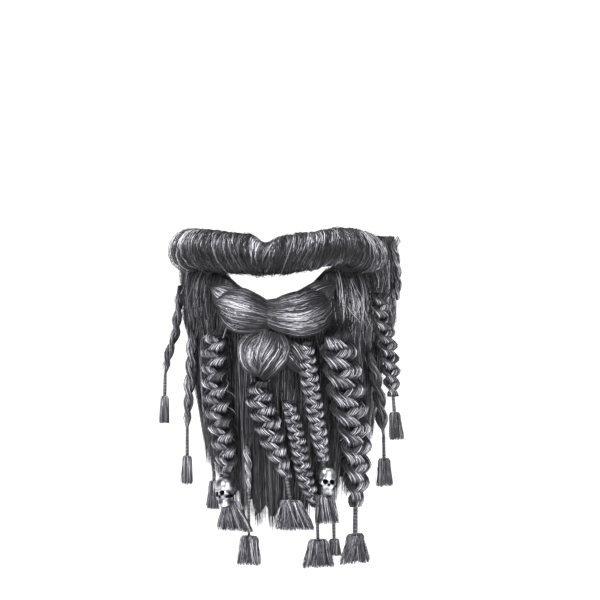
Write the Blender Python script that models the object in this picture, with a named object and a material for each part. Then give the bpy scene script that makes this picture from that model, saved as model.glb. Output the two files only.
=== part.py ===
"""A fake beard with a moustache, plaits, tassels and two skull beads, in metres, +Z up.

The beard faces -Y, and +X is to the viewer's right. The origin is the middle of the chin, on the
outer face of the base cloth. Every piece is placed on one wrap round the lower face: an ellipse in
plan, whose width and setback change with height, and "out" is the distance outside the cloth.
"""

import math

import bmesh
import bpy
from mathutils import Vector

MM = 0.001

# Driving sizes
CLOTH_HALF_WIDTH = 74 * MM
CLOTH_DEPTH = 88 * MM
CLOTH_THICK = 1.5 * MM
CLOTH_TOP = 57 * MM
CLOTH_CHIN = 22 * MM
CLOTH_JAW_RISE = 34 * MM
CLOTH_REACH = math.radians(80)
LIP_TOP = 47 * MM
SIDEBURN_START = math.radians(50)
SIDEBURN_SPAN = math.radians(18)
GAP = 0.3 * MM

MOUTH_HALF_WIDTH = 37 * MM
MOUTH_LOW = 11.5 * MM
MOUTH_TOP = 35 * MM
MOUTH_OFF = 2 * MM

BAND_HEIGHT = 8 * MM
BAND_THICK = 1.2 * MM
BAND_MIDDLE = 51 * MM
BAND_BACK = 98 * MM
BAND_SEAM = math.radians(68)

MOUSTACHE_HALF_WIDTH = 67 * MM
MOUSTACHE_BOTTOM = 28.6 * MM
MOUSTACHE_HEIGHT = 32.6 * MM
MOUSTACHE_HALF_DEPTH = 12 * MM
MOUSTACHE_SWEEP = 37 * MM

HALF_SPAN = 80 * MM
DROP = 171 * MM
HAIR_THICK = 7 * MM
FALL_THICK = 9 * MM
FALL_TIP = 2.2 * MM
FALL_LEAST = 12 * MM
TIP_NOTCH = 7 * MM
HAIR_LOCKS = 17
LOCK_GROOVE = 0.38
HAIR_REACH = math.radians(79)

LOCK_HALF_DEPTH = 5.5 * MM
KNOT_HALF_DEPTH = 6.5 * MM
PLAIT_WIDTH = 27 * MM
PLAIT_PITCH = 1.55
ROPE_PITCH = 2.9

THREAD_RADIUS = 1.3 * MM
SKIRT_WIDTH = 28 * MM
SKIRT_DEPTH = 8.5 * MM
SKIRT_TOP = 13 * MM
SKIRT_LOBES = 6
SKIRT_NOTCH = 0.12

SKULL_WIDTH = 14 * MM
SKULL_HEIGHT = 21 * MM
SKULL_FORWARD = 3.6 * MM
SKULL_BORE = THREAD_RADIUS + GAP

# The wrap round the face. down is a share of DROP, width of CLOTH_HALF_WIDTH, setback of HALF_SPAN.
WRAP = (
    {"down": -0.36, "width": 1.000, "setback": 0.050},
    {"down": -0.17, "width": 0.985, "setback": 0.000},
    {"down": 0.00, "width": 0.945, "setback": 0.000},
    {"down": 0.13, "width": 0.900, "setback": 0.045},
    {"down": 0.40, "width": 0.880, "setback": 0.075},
    {"down": 0.70, "width": 0.850, "setback": 0.060},
    {"down": 1.00, "width": 0.800, "setback": 0.040},
)

# The moustache, from its left end to its right. across is a share of MOUSTACHE_HALF_WIDTH, low and
# high of MOUSTACHE_HEIGHT over its bottom, deep of MOUSTACHE_HALF_DEPTH.
MOUSTACHE = (
    {"across": -1.00, "low": 0.42, "high": 0.66, "deep": 0.35},
    {"across": -0.965, "low": 0.27, "high": 0.80, "deep": 0.62},
    {"across": -0.885, "low": 0.18, "high": 0.92, "deep": 0.84},
    {"across": -0.790, "low": 0.13, "high": 0.99, "deep": 0.97},
    {"across": -0.650, "low": 0.15, "high": 0.98, "deep": 1.00},
    {"across": -0.480, "low": 0.07, "high": 0.95, "deep": 1.00},
    {"across": -0.305, "low": 0.04, "high": 0.89, "deep": 0.99},
    {"across": -0.153, "low": 0.02, "high": 0.86, "deep": 0.96},
    {"across": -0.033, "low": 0.00, "high": 0.69, "deep": 0.88},
    {"across": 0.098, "low": 0.01, "high": 0.83, "deep": 0.95},
    {"across": 0.240, "low": 0.05, "high": 0.89, "deep": 0.99},
    {"across": 0.403, "low": 0.13, "high": 0.94, "deep": 1.00},
    {"across": 0.577, "low": 0.23, "high": 1.00, "deep": 1.00},
    {"across": 0.720, "low": 0.13, "high": 0.98, "deep": 1.00},
    {"across": 0.830, "low": 0.09, "high": 0.90, "deep": 0.95},
    {"across": 0.910, "low": 0.11, "high": 0.78, "deep": 0.80},
    {"across": 0.970, "low": 0.20, "high": 0.66, "deep": 0.58},
    {"across": 1.00, "low": 0.30, "high": 0.56, "deep": 0.34},
)

# Where the hanging hair ends. turn is a share of HAIR_REACH, down of DROP.
FALL_END = (
    {"turn": -1.00, "down": 0.07},
    {"turn": -0.92, "down": 0.22},
    {"turn": -0.82, "down": 0.46},
    {"turn": -0.70, "down": 0.59},
    {"turn": -0.52, "down": 0.66},
    {"turn": -0.32, "down": 0.77},
    {"turn": 0.00, "down": 0.84},
    {"turn": 0.20, "down": 0.83},
    {"turn": 0.40, "down": 0.75},
    {"turn": 0.60, "down": 0.71},
    {"turn": 0.74, "down": 0.60},
    {"turn": 0.85, "down": 0.42},
    {"turn": 0.93, "down": 0.20},
    {"turn": 1.00, "down": 0.07},
)

# Combed locks under the lip and the two strands of the knot. across is a share of HALF_SPAN, down of
# DROP, half of PLAIT_WIDTH.
LOCKS = {
    "chin_lock_left": (
        {"across": -0.475, "down": -0.058, "half": 0.14},
        {"across": -0.400, "down": -0.050, "half": 0.36},
        {"across": -0.260, "down": -0.028, "half": 0.53},
        {"across": -0.120, "down": -0.016, "half": 0.42},
        {"across": -0.010, "down": -0.009, "half": 0.22},
    ),
    "chin_lock_right": (
        {"across": 0.022, "down": -0.012, "half": 0.20},
        {"across": 0.125, "down": -0.009, "half": 0.42},
        {"across": 0.255, "down": -0.018, "half": 0.55},
        {"across": 0.375, "down": -0.038, "half": 0.58},
        {"across": 0.480, "down": -0.062, "half": 0.34},
    ),
}
KNOT = (
    (
        {"across": -0.105, "down": 0.078, "half": 0.22},
        {"across": -0.150, "down": 0.120, "half": 0.35},
        {"across": -0.130, "down": 0.165, "half": 0.32},
        {"across": -0.088, "down": 0.222, "half": 0.16},
    ),
    (
        {"across": 0.040, "down": 0.070, "half": 0.24},
        {"across": 0.075, "down": 0.115, "half": 0.36},
        {"across": 0.035, "down": 0.170, "half": 0.33},
        {"across": -0.070, "down": 0.230, "half": 0.17},
    ),
)

# Plaits, each by its own middle line: across is a share of HALF_SPAN, down of DROP, wide of
# PLAIT_WIDTH, lift how far it hangs off the hair behind it, as a share of HALF_SPAN.
PLAITS = {
    "plait_left_main": (
        {"across": -0.475, "down": 0.046, "wide": 0.50, "lift": -0.006},
        {"across": -0.490, "down": 0.120, "wide": 0.84, "lift": -0.006},
        {"across": -0.500, "down": 0.230, "wide": 0.85, "lift": -0.006},
        {"across": -0.465, "down": 0.360, "wide": 0.85, "lift": 0},
        {"across": -0.400, "down": 0.540, "wide": 0.70, "lift": 0.02},
        {"across": -0.395, "down": 0.625, "wide": 0.36, "lift": 0.06},
    ),
    "plait_chin": (
        {"across": -0.089, "down": 0.252, "wide": 0.44, "lift": 0},
        {"across": -0.078, "down": 0.320, "wide": 0.76, "lift": 0},
        {"across": -0.010, "down": 0.430, "wide": 0.72, "lift": 0},
        {"across": 0.075, "down": 0.560, "wide": 0.52, "lift": 0},
        {"across": 0.130, "down": 0.632, "wide": 0.28, "lift": 0},
    ),
    "plait_centre_thin": (
        {"across": 0.150, "down": 0.325, "wide": 0.30, "lift": 0},
        {"across": 0.208, "down": 0.440, "wide": 0.42, "lift": 0},
        {"across": 0.285, "down": 0.640, "wide": 0.45, "lift": 0},
        {"across": 0.368, "down": 0.755, "wide": 0.28, "lift": 0},
    ),
    "plait_right_inner": (
        {"across": 0.290, "down": 0.094, "wide": 0.42, "lift": 0},
        {"across": 0.310, "down": 0.180, "wide": 0.50, "lift": 0},
        {"across": 0.355, "down": 0.330, "wide": 0.48, "lift": 0},
        {"across": 0.405, "down": 0.480, "wide": 0.44, "lift": 0.01},
        {"across": 0.430, "down": 0.570, "wide": 0.28, "lift": 0.02},
    ),
    "plait_right_main": (
        {"across": 0.545, "down": 0.052, "wide": 0.60, "lift": 0},
        {"across": 0.565, "down": 0.120, "wide": 1.00, "lift": 0},
        {"across": 0.605, "down": 0.220, "wide": 1.08, "lift": 0},
        {"across": 0.640, "down": 0.350, "wide": 1.06, "lift": 0},
        {"across": 0.680, "down": 0.500, "wide": 0.94, "lift": 0},
        {"across": 0.680, "down": 0.650, "wide": 0.76, "lift": 0},
        {"across": 0.655, "down": 0.765, "wide": 0.36, "lift": 0},
    ),
    "plait_right_outer": (
        {"across": 0.850, "down": -0.100, "wide": 0.46, "lift": 0},
        {"across": 0.880, "down": -0.020, "wide": 0.70, "lift": 0},
        {"across": 0.915, "down": 0.110, "wide": 0.72, "lift": 0.020},
        {"across": 0.957, "down": 0.227, "wide": 0.62, "lift": 0.105},
        {"across": 0.985, "down": 0.318, "wide": 0.36, "lift": 0.195},
    ),
}
# Thin twisted tails of two strands, with the same columns.
ROPES = {
    "rope_left_outer": (
        {"across": -0.935, "down": -0.130, "wide": 0.26, "lift": 0},
        {"across": -0.985, "down": 0.030, "wide": 0.30, "lift": 0.02},
        {"across": -1.035, "down": 0.130, "wide": 0.30, "lift": 0.12},
        {"across": -1.080, "down": 0.235, "wide": 0.24, "lift": 0.205},
    ),
    "rope_left_inner": (
        {"across": -0.760, "down": 0.050, "wide": 0.30, "lift": 0},
        {"across": -0.815, "down": 0.250, "wide": 0.34, "lift": 0},
        {"across": -0.870, "down": 0.455, "wide": 0.24, "lift": 0.08},
    ),
    "rope_right_temple": (
        {"across": 0.945, "down": -0.310, "wide": 0.18, "lift": 0},
        {"across": 0.985, "down": -0.200, "wide": 0.24, "lift": 0.01},
        {"across": 0.990, "down": -0.070, "wide": 0.20, "lift": 0.04},
    ),
    "rope_right_low": (
        {"across": 0.780, "down": 0.140, "wide": 0.28, "lift": 0},
        {"across": 0.830, "down": 0.270, "wide": 0.38, "lift": 0},
        {"across": 0.865, "down": 0.390, "wide": 0.36, "lift": 0.05},
        {"across": 0.875, "down": 0.480, "wide": 0.18, "lift": 0.09},
    ),
    "rope_by_bead": (
        {"across": -0.220, "down": 0.500, "wide": 0.22, "lift": 0},
        {"across": -0.203, "down": 0.600, "wide": 0.20, "lift": 0},
        {"across": -0.206, "down": 0.695, "wide": 0.16, "lift": 0},
    ),
}

# Tassels. Each hangs on a tress, or on the tip of the lock that is this many locks from the middle.
# across is a share of HALF_SPAN for the skirt's foot, neck and skirt are lengths as shares of DROP,
# wide is a share of SKIRT_WIDTH and thread of THREAD_RADIUS.
TASSELS = {
    "tassel_left_outer": {
        "on": "rope_left_outer", "across": -1.090, "neck": 0.090, "skirt": 0.112, "wide": 0.50, "thread": 1.0,
    },
    "tassel_left_inner": {
        "on": "rope_left_inner", "across": -0.870, "neck": 0.115, "skirt": 0.115, "wide": 0.54, "thread": 1.0,
    },
    "tassel_left_back": {
        "on": -5, "across": -0.600, "neck": 0.030, "skirt": 0.115, "wide": 0.50, "thread": 1.0,
    },
    "tassel_left_main": {
        "on": "plait_left_main", "across": -0.330, "neck": 0.104, "skirt": 0.120, "wide": 1.04, "thread": 1.0,
    },
    "tassel_by_bead": {
        "on": "rope_by_bead", "across": -0.206, "neck": 0.172, "skirt": 0.118, "wide": 0.60, "thread": 0.8,
    },
    "tassel_chin": {
        "on": "plait_chin", "across": 0.210, "neck": 0.088, "skirt": 0.120, "wide": 0.86, "thread": 1.0,
    },
    "tassel_centre_thin": {
        "on": "plait_centre_thin", "across": 0.385, "neck": 0.125, "skirt": 0.114, "wide": 0.76, "thread": 1.0,
    },
    "tassel_right_inner": {
        "on": "plait_right_inner", "across": 0.462, "neck": 0.134, "skirt": 0.112, "wide": 0.56, "thread": 1.0,
    },
    "tassel_right_back": {
        "on": 4, "across": 0.495, "neck": 0.150, "skirt": 0.070, "wide": 0.34, "thread": 1.0,
    },
    "tassel_right_main": {
        "on": "plait_right_main", "across": 0.650, "neck": 0.105, "skirt": 0.122, "wide": 0.94, "thread": 1.5,
    },
    "tassel_right_outer": {
        "on": "plait_right_outer", "across": 1.015, "neck": 0.060, "skirt": 0.110, "wide": 0.48, "thread": 1.0,
    },
    "tassel_right_low": {
        "on": "rope_right_low", "across": 0.885, "neck": 0.090, "skirt": 0.114, "wide": 0.54, "thread": 1.0,
    },
}
# Skull beads ride on the necks of two tassels. down is a share of DROP for the bead's middle, size of
# SKULL_WIDTH and SKULL_HEIGHT, tilt and turn in degrees.
SKULLS = {
    "skull_bead_left": ("tassel_left_main", {"down": 0.695, "size": 1.00, "tilt": -14, "turn": -22}),
    "skull_bead_right": ("tassel_right_inner", {"down": 0.645, "size": 0.93, "tilt": 4, "turn": -8}),
}


def smooth(t):
    """An even ramp from 0 to 1, flat at both ends."""
    t = min(1.0, max(0.0, t))
    return t * t * (3 - 2 * t)


def read(rows, key, value, at):
    """A column of a table at a place between its rows, on a curve through them that never overshoots."""
    places = [row[key] for row in rows]
    values = [row[value] for row in rows]
    if at <= places[0]:
        return values[0]
    if at >= places[-1]:
        return values[-1]
    slopes = [(b - a) / (q - p) for a, b, p, q in zip(values, values[1:], places, places[1:])]
    inner = [2 * a * b / (a + b) if a * b > 0 else 0.0 for a, b in zip(slopes, slopes[1:])]
    ends = [slopes[0]] + inner + [slopes[-1]]
    i = max(k for k in range(len(places) - 1) if places[k] <= at)
    span = places[i + 1] - places[i]
    t = (at - places[i]) / span
    left = values[i] * (1 + 2 * t) + ends[i] * span * t
    right = values[i + 1] * (3 - 2 * t) - ends[i + 1] * span * (1 - t)
    return left * (1 - t) ** 2 + right * t**2


def along(rows, value, t):
    """A column of a table at a share t of the way through its rows, counted by their down or across."""
    key = max("down", "across", key=lambda name: abs(rows[-1][name] - rows[0][name]))
    at = rows[0][key] + (rows[-1][key] - rows[0][key]) * t
    return at if value == key else read(rows, key, value, at)


def wrap_half_width(z):
    """Half the wrap's width at this height."""
    return CLOTH_HALF_WIDTH * read(WRAP, "down", "width", -z / DROP)


def wrap_point(angle, z, out):
    """A point round the face at this angle from the middle, this far outside the cloth."""
    setback = HALF_SPAN * read(WRAP, "down", "setback", -z / DROP)
    across = (wrap_half_width(z) + out) * math.sin(angle)
    return Vector((across, setback + CLOTH_DEPTH - (CLOTH_DEPTH + out) * math.cos(angle), z))


def wrap_frame(angle, z, out):
    """The level direction along the wrap, and the level direction away from the face."""
    across = (wrap_half_width(z) + out) * math.cos(angle)
    side = Vector((across, (CLOTH_DEPTH + out) * math.sin(angle), 0)).normalized()
    return side, Vector((side.y, -side.x, 0))


def angle_at(across, z, out):
    """The angle at which the wrap reaches this far across."""
    return math.asin(max(-0.985, min(0.985, across / (wrap_half_width(z) + out))))


def jaw_edge(angle):
    """The height of the cloth's lower edge, which climbs along the jaw."""
    return -CLOTH_CHIN + CLOTH_JAW_RISE * smooth(abs(angle) / CLOTH_REACH)


def moustache_foot(across):
    """The height of the moustache's lower edge."""
    share = read(MOUSTACHE, "across", "low", across / MOUSTACHE_HALF_WIDTH)
    return MOUSTACHE_BOTTOM + MOUSTACHE_HEIGHT * share


def mouth_edge(across):
    """The height of the hair's edge under the mouth, and under the moustache beside it."""
    share = min(1.0, abs(across - MOUTH_OFF) / MOUTH_HALF_WIDTH)
    return MOUTH_LOW + (moustache_foot(across) - 2 * GAP - MOUTH_LOW) * share**1.5


def hair_top(angle):
    """The height of the cheek hair's upper edge, which climbs to the sideburns behind the moustache."""
    edge = mouth_edge(wrap_point(angle, MOUTH_TOP, HAIR_THICK).x)
    burn = smooth((abs(angle) - SIDEBURN_START) / SIDEBURN_SPAN)
    return edge - GAP + (CLOTH_TOP - edge) * burn


def hair_split(angle):
    """The height at which the hair leaves the cloth and hangs free."""
    return jaw_edge(angle) + GAP


def fall_end(angle):
    """The height of the hanging hair's lower edge, which is higher in the furrows between locks."""
    low = -DROP * read(FALL_END, "turn", "down", angle / HAIR_REACH)
    return min(low + TIP_NOTCH * groove(angle), hair_split(angle) - FALL_LEAST)


def hair_thick(angle, z):
    """How thick the hair is, from its edges to its full depth and down to its tips."""
    if z > hair_split(angle):
        return HAIR_THICK * (0.45 + 0.55 * smooth((hair_top(angle) - z) / HAIR_THICK))
    share = (hair_split(angle) - z) / (hair_split(angle) - fall_end(angle))
    full = HAIR_THICK + (FALL_THICK - HAIR_THICK) * smooth(share * 3)
    return full + (FALL_TIP - full) * smooth((share - 0.45) / 0.55)


def groove(angle):
    """How deep the furrow between two locks cuts in, from 0 on a lock's crown to 1."""
    return abs(math.sin(angle / HAIR_REACH * HAIR_LOCKS * math.pi / 2)) ** 3


def material(name, colour, roughness, metallic=0.0):
    """A plain finish."""
    made = bpy.data.materials.new(name)
    made.use_nodes = True
    shader = made.node_tree.nodes["Principled BSDF"]
    shader.inputs["Base Color"].default_value = (*colour, 1)
    shader.inputs["Roughness"].default_value = roughness
    shader.inputs["Metallic"].default_value = metallic
    return made


def add(name, mesh, finish):
    """A new object of the scene with this mesh."""
    made = bpy.data.objects.new(name, mesh)
    made.data.materials.append(finish)
    bpy.context.scene.collection.objects.link(made)
    return made


def lofted(name, rings, finish):
    """One closed body through rings of points, with both ends capped."""
    work = bmesh.new()
    rows = [[work.verts.new(point) for point in ring] for ring in rings]
    count = len(rings[0])
    for low, high in zip(rows, rows[1:]):
        for k in range(count):
            work.faces.new((low[k], low[(k + 1) % count], high[(k + 1) % count], high[k]))
    work.faces.new(rows[0][::-1])
    work.faces.new(rows[-1])
    bmesh.ops.recalc_face_normals(work, faces=work.faces)
    mesh = bpy.data.meshes.new(name)
    work.to_mesh(mesh)
    work.free()
    mesh.shade_smooth()
    return add(name, mesh, finish)


def shell(name, front, back, finish):
    """One closed body between two grids of points of the same size."""
    work = bmesh.new()
    sheets = [[[work.verts.new(point) for point in row] for row in grid] for grid in (front, back)]
    rows, columns = len(front), len(front[0])
    for sheet, turned in zip(sheets, (False, True)):
        for i in range(rows - 1):
            for j in range(columns - 1):
                corners = (sheet[i][j], sheet[i + 1][j], sheet[i + 1][j + 1], sheet[i][j + 1])
                work.faces.new(corners[::-1] if turned else corners)
    rim = [(0, j) for j in range(columns)] + [(i, columns - 1) for i in range(1, rows)]
    rim += [(rows - 1, j) for j in range(columns - 2, -1, -1)] + [(i, 0) for i in range(rows - 2, 0, -1)]
    for (i, j), (p, q) in zip(rim, rim[1:] + rim[:1]):
        work.faces.new((sheets[0][i][j], sheets[0][p][q], sheets[1][p][q], sheets[1][i][j]))
    bmesh.ops.recalc_face_normals(work, faces=work.faces)
    mesh = bpy.data.meshes.new(name)
    work.to_mesh(mesh)
    work.free()
    mesh.shade_smooth()
    return add(name, mesh, finish)


def fuse(body, others, operation="UNION"):
    """Joins other objects to this one, or cuts them from it, and removes them."""
    bpy.context.view_layer.update()
    for other in others:
        step = body.modifiers.new(operation.title(), "BOOLEAN")
        step.operation = operation
        step.object = other
    graph = bpy.context.evaluated_depsgraph_get()
    mesh = bpy.data.meshes.new_from_object(body.evaluated_get(graph))
    body.modifiers.clear()
    body.data = mesh
    for other in others:
        bpy.data.objects.remove(other)
    return body


def oval(centre, first, second, count, start=0.0):
    """Points round an oval with these two half axes."""
    turns = [start + 2 * math.pi * k / count for k in range(count)]
    return [centre + first * math.cos(turn) + second * math.sin(turn) for turn in turns]


def make_backing(finish):
    """The cloth that carries the hair: a strip round the jaw and lip with a hole for the mouth."""
    angles = [CLOTH_REACH * (k / 13 - 1) for k in range(27)]

    def sheet(out):
        rows = []
        for share in [k / 6 for k in range(7)]:
            row = []
            for angle in angles:
                top = LIP_TOP + (CLOTH_TOP - GAP - LIP_TOP) * smooth(abs(angle) / SIDEBURN_START)
                row.append(wrap_point(angle, jaw_edge(angle) + (top - jaw_edge(angle)) * share, out))
            rows.append(row)
        return rows

    cloth = shell("backing", sheet(0), sheet(-CLOTH_THICK), finish)
    steps = [MOUTH_HALF_WIDTH * (k / 6 - 1) for k in range(13)]
    lower = [(MOUTH_OFF + step, mouth_edge(MOUTH_OFF + step)) for step in steps]
    outline = lower + [(steps[-1] * 0.9 + MOUTH_OFF, MOUTH_TOP), (steps[0] * 0.9 + MOUTH_OFF, MOUTH_TOP)]
    near, far = -HALF_SPAN / 2, HALF_SPAN / 2
    cutter = lofted("mouth_cutter", [[Vector((x, y, z)) for x, z in outline] for y in (near, far)], finish)
    return fuse(cloth, [cutter], "DIFFERENCE")


def make_elastic(finish):
    """A flat elastic from one side of the cloth round the back of the head to the other."""
    out = -CLOTH_THICK - GAP - BAND_THICK / 2
    middle = wrap_point(0, BAND_MIDDLE, out).y + CLOTH_DEPTH + out
    rings = []
    for k in range(25):
        angle = BAND_SEAM + (2 * math.pi - 2 * BAND_SEAM) * k / 24
        deep = CLOTH_DEPTH + out if math.cos(angle) > 0 else BAND_BACK
        wide = wrap_half_width(BAND_MIDDLE) + out
        point = Vector((wide * math.sin(angle), middle - deep * math.cos(angle), BAND_MIDDLE))
        across = Vector((deep * math.sin(angle), -wide * math.cos(angle), 0)).normalized() * BAND_THICK / 2
        up = Vector((0, 0, BAND_HEIGHT / 2))
        rings.append([point - across - up, point + across - up, point + across + up, point - across + up])
    return lofted("head_elastic", rings, finish)


def make_moustache(finish):
    """A thick roll in two lobes, whose ends sweep back less than the cheeks do."""
    middle = (read(MOUSTACHE, "across", "low", 0) + read(MOUSTACHE, "across", "high", 0)) / 2
    seat = wrap_point(0, MOUSTACHE_BOTTOM + MOUSTACHE_HEIGHT * middle, GAP).y
    rings = []
    for k in range(31):
        share = math.sin(math.pi / 2 * (k / 15 - 1) * 0.92) / math.sin(math.pi / 2 * 0.92)
        low, high, deep = (read(MOUSTACHE, "across", key, share) for key in ("low", "high", "deep"))
        across = MOUSTACHE_HALF_WIDTH * share
        slope = 2 * MOUSTACHE_SWEEP * share / MOUSTACHE_HALF_WIDTH
        away = Vector((slope, -1, 0)).normalized()
        height = MOUSTACHE_BOTTOM + MOUSTACHE_HEIGHT * (low + high) / 2
        deep *= MOUSTACHE_HALF_DEPTH
        centre = Vector((across, seat + MOUSTACHE_SWEEP * share**2, height)) + away * deep
        half = Vector((0, 0, MOUSTACHE_HEIGHT * (high - low) / 2))
        rings.append(oval(centre, away * deep, half, 10))
    return lofted("moustache", rings, finish)


def hair_columns():
    """The angles of the hair's columns: one on each lock's crown and one in each furrow."""
    return [HAIR_REACH * (k / HAIR_LOCKS - 1) for k in range(2 * HAIR_LOCKS + 1)]


def hair_sheet(upper, lower, rows, front):
    """A grid over the hair from its upper edge down to its lower one."""
    grid = []
    for share in [k / (rows - 1) for k in range(rows)]:
        row = []
        for angle in hair_columns():
            z = upper(angle) + (lower(angle) - upper(angle)) * share
            deep = hair_thick(angle, z)
            row.append(wrap_point(angle, z, GAP + (deep * (1 - LOCK_GROOVE * groove(angle)) if front else 0)))
        grid.append(row)
    return grid


def make_hair(finish):
    """The hair on the cheeks and chin, and the hair that hangs free below the jaw."""
    spans = {
        "cheek_hair": (hair_top, lambda angle: hair_split(angle) + GAP, 5),
        "beard_fall": (lambda angle: hair_split(angle) - GAP, fall_end, 8),
    }
    for name, (upper, lower, rows) in spans.items():
        front, back = (hair_sheet(upper, lower, rows, side) for side in (True, False))
        shell(name, front, back, finish)


def tress_point(across, down, half_depth, reach=0.0):
    """The middle of what lies on the hair, and the directions along and away from the wrap there.

    reach is how far it spreads up and down, so that it clears the hair all over.
    """
    z = -DROP * down
    angle = angle_at(HALF_SPAN * across, z, FALL_THICK + half_depth)
    out = max(hair_thick(angle, z + step) for step in (-reach, 0, reach)) + 2 * GAP + half_depth
    side, away = wrap_frame(angle, z, out)
    return wrap_point(angle_at(HALF_SPAN * across, z, out), z, out), side, away


def make_lock(name, rows, half_depth, finish, sides=8, steps=8):
    """A combed lock that lies on the hair: an oval tube along its rows."""
    line = []
    for k in range(steps + 1):
        t = k / steps
        across, down, half = (along(rows, key, t) for key in ("across", "down", "half"))
        deep = half_depth * (0.55 + 0.45 * math.sin(math.pi * t))
        line.append((*tress_point(across, down, deep, PLAIT_WIDTH * half), PLAIT_WIDTH * half, deep))
    rings = []
    for k, (point, _, away, half, deep) in enumerate(line):
        ahead = (line[min(k + 1, steps)][0] - line[max(k - 1, 0)][0]).normalized()
        level = ahead.cross(away).normalized()
        rings.append(oval(point, level * half, away * deep, sides))
    return lofted(name, rings, finish)


def tress_depth(kind, half):
    """Half the depth of a plait or a rope of this half width."""
    return half * (0.60 if kind == "plait" else 0.84)


def tress_line(rows, kind, t):
    """The middle of a plait or rope at a share t of its length, with its directions and half width."""
    across, down, wide, lift = (along(rows, key, t) for key in ("across", "down", "wide", "lift"))
    half = PLAIT_WIDTH * wide / 2
    return (*tress_point(across, down, tress_depth(kind, half) + HALF_SPAN * lift, half / 2), half)


def strand_places(kind, turn):
    """Each strand's middle and half sizes in a level cut, as shares of the tress's half width."""
    if kind == "plait":
        turns = [turn + 2 * math.pi * k / 3 for k in range(3)]
        return [(0.44 * math.sin(u), -0.26 * math.sin(2 * u), 0.58, 0.33) for u in turns]
    turns = [turn + math.pi * k for k in range(2)]
    return [(0.44 * math.sin(u), 0.42 * math.cos(u), 0.54, 0.50) for u in turns]


def reach_of(strands, across, away):
    """How far from the middle the strands reach in this direction."""
    far = 0.2
    for x, y, wide, deep in strands:
        a = (across / wide) ** 2 + (away / deep) ** 2
        b = across * x / wide**2 + away * y / deep**2
        c = (x / wide) ** 2 + (y / deep) ** 2 - 1
        if b * b > a * c:
            far = max(far, (b + math.sqrt(b * b - a * c)) / a)
    return far


def make_tress(name, rows, kind, finish):
    """A plait of three strands, or a rope of two: one body with the outer form of its strands."""
    length = DROP * (rows[-1]["down"] - rows[0]["down"])
    widest = PLAIT_WIDTH * max(row["wide"] for row in rows)
    pitch = widest * (PLAIT_PITCH if kind == "plait" else ROPE_PITCH)
    main = kind == "plait" and widest > PLAIT_WIDTH / 2
    count, cuts = (10, 12) if main else (8, 9) if kind == "plait" else (7, 8)
    steps = round(length / pitch * cuts)
    rings = []
    for k in range(steps + 1):
        point, side, away, half = tress_line(rows, kind, k / steps)
        strands = strand_places(kind, 2 * math.pi * k / cuts)
        ring = []
        for n in range(count):
            turn = 2 * math.pi * (n + 0.5) / count
            across, out = math.cos(turn), math.sin(turn) * (0.65 if kind == "plait" else 1.0)
            scale = math.hypot(across, out)
            reach = half * reach_of(strands, across / scale, out / scale)
            ring.append(point + (side * across + away * out) * reach / scale)
        rings.append(ring)
    return lofted(name, rings, finish)


def tassel_line(size):
    """Where a tassel's neck starts, where its skirt starts and where it ends, and how it faces."""
    if size["on"] in PLAITS or size["on"] in ROPES:
        kind, rows = ("plait", PLAITS) if size["on"] in PLAITS else ("rope", ROPES)
        top, side, away, _ = tress_line(rows[size["on"]], kind, 1)
    else:
        angle = HAIR_REACH * 2 * size["on"] / HAIR_LOCKS
        out = GAP + FALL_TIP / 2
        top = wrap_point(angle, fall_end(angle), out)
        side, away = wrap_frame(angle, top.z, out)
    top = top - Vector((0, 0, GAP))
    neck, skirt = DROP * size["neck"], DROP * size["skirt"]
    step = Vector(((HALF_SPAN * size["across"] - top.x) / (neck + skirt), 0, -1))
    waist = top + step * neck
    return top, waist, waist + step * skirt, side, away


def make_tassel(name, size, finish):
    """A bound thread and a cut skirt of hair, lofted as one body."""
    top, waist, foot, side, away = tassel_line(size)
    thread = THREAD_RADIUS * size["thread"]
    wide, deep = SKIRT_WIDTH * size["wide"] / 2, SKIRT_DEPTH / 2 * (0.6 + 0.4 * size["wide"])
    start = min(SKIRT_TOP / 2 / wide, 0.8)
    count = 2 * SKIRT_LOBES
    rings = []
    for t, spread in ((0, 0.85), (0.5, 1), (1, 1.1)):
        rings.append(oval(top + (waist - top) * t, side * thread * spread, away * thread * spread, count))
    cuts = ((0.02, 0.86 * start, 0.72), (0.1, start, 0.84), (0.55, (1 + start) / 2, 0.95), (1, 1, 1))
    for t, spread, thick in cuts:
        middle = waist + (foot - waist) * t
        ring = oval(middle, side * wide * spread, away * deep * thick, count)
        notches = [1 - SKIRT_NOTCH * t * (k % 2) for k in range(count)]
        rings.append([middle + (point - middle) * notch for point, notch in zip(ring, notches)])
    return lofted(name, rings, finish)


def ball(name, centre, half, finish, segments=10, rings=7):
    """An oval ball with these half sizes."""
    work = bmesh.new()
    bmesh.ops.create_uvsphere(work, u_segments=segments, v_segments=rings, radius=1)
    for vert in work.verts:
        vert.co = Vector((vert.co.x * half[0], vert.co.y * half[1], vert.co.z * half[2])) + Vector(centre)
    mesh = bpy.data.meshes.new(name)
    work.to_mesh(mesh)
    work.free()
    mesh.shade_smooth()
    return add(name, mesh, finish)


def block(name, centre, half, taper, finish):
    """A block whose foot is narrower than its top by this share."""
    rings = []
    for level, share in ((-half[2], taper), (half[2], 1.0)):
        corners = ((-1, -0.55), (-0.6, -1), (0.6, -1), (1, -0.55), (1, 1), (-1, 1))
        rings.append([Vector(centre) + Vector((x * half[0] * share, y * half[1], level)) for x, y in corners])
    return lofted(name, rings, finish)


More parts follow.
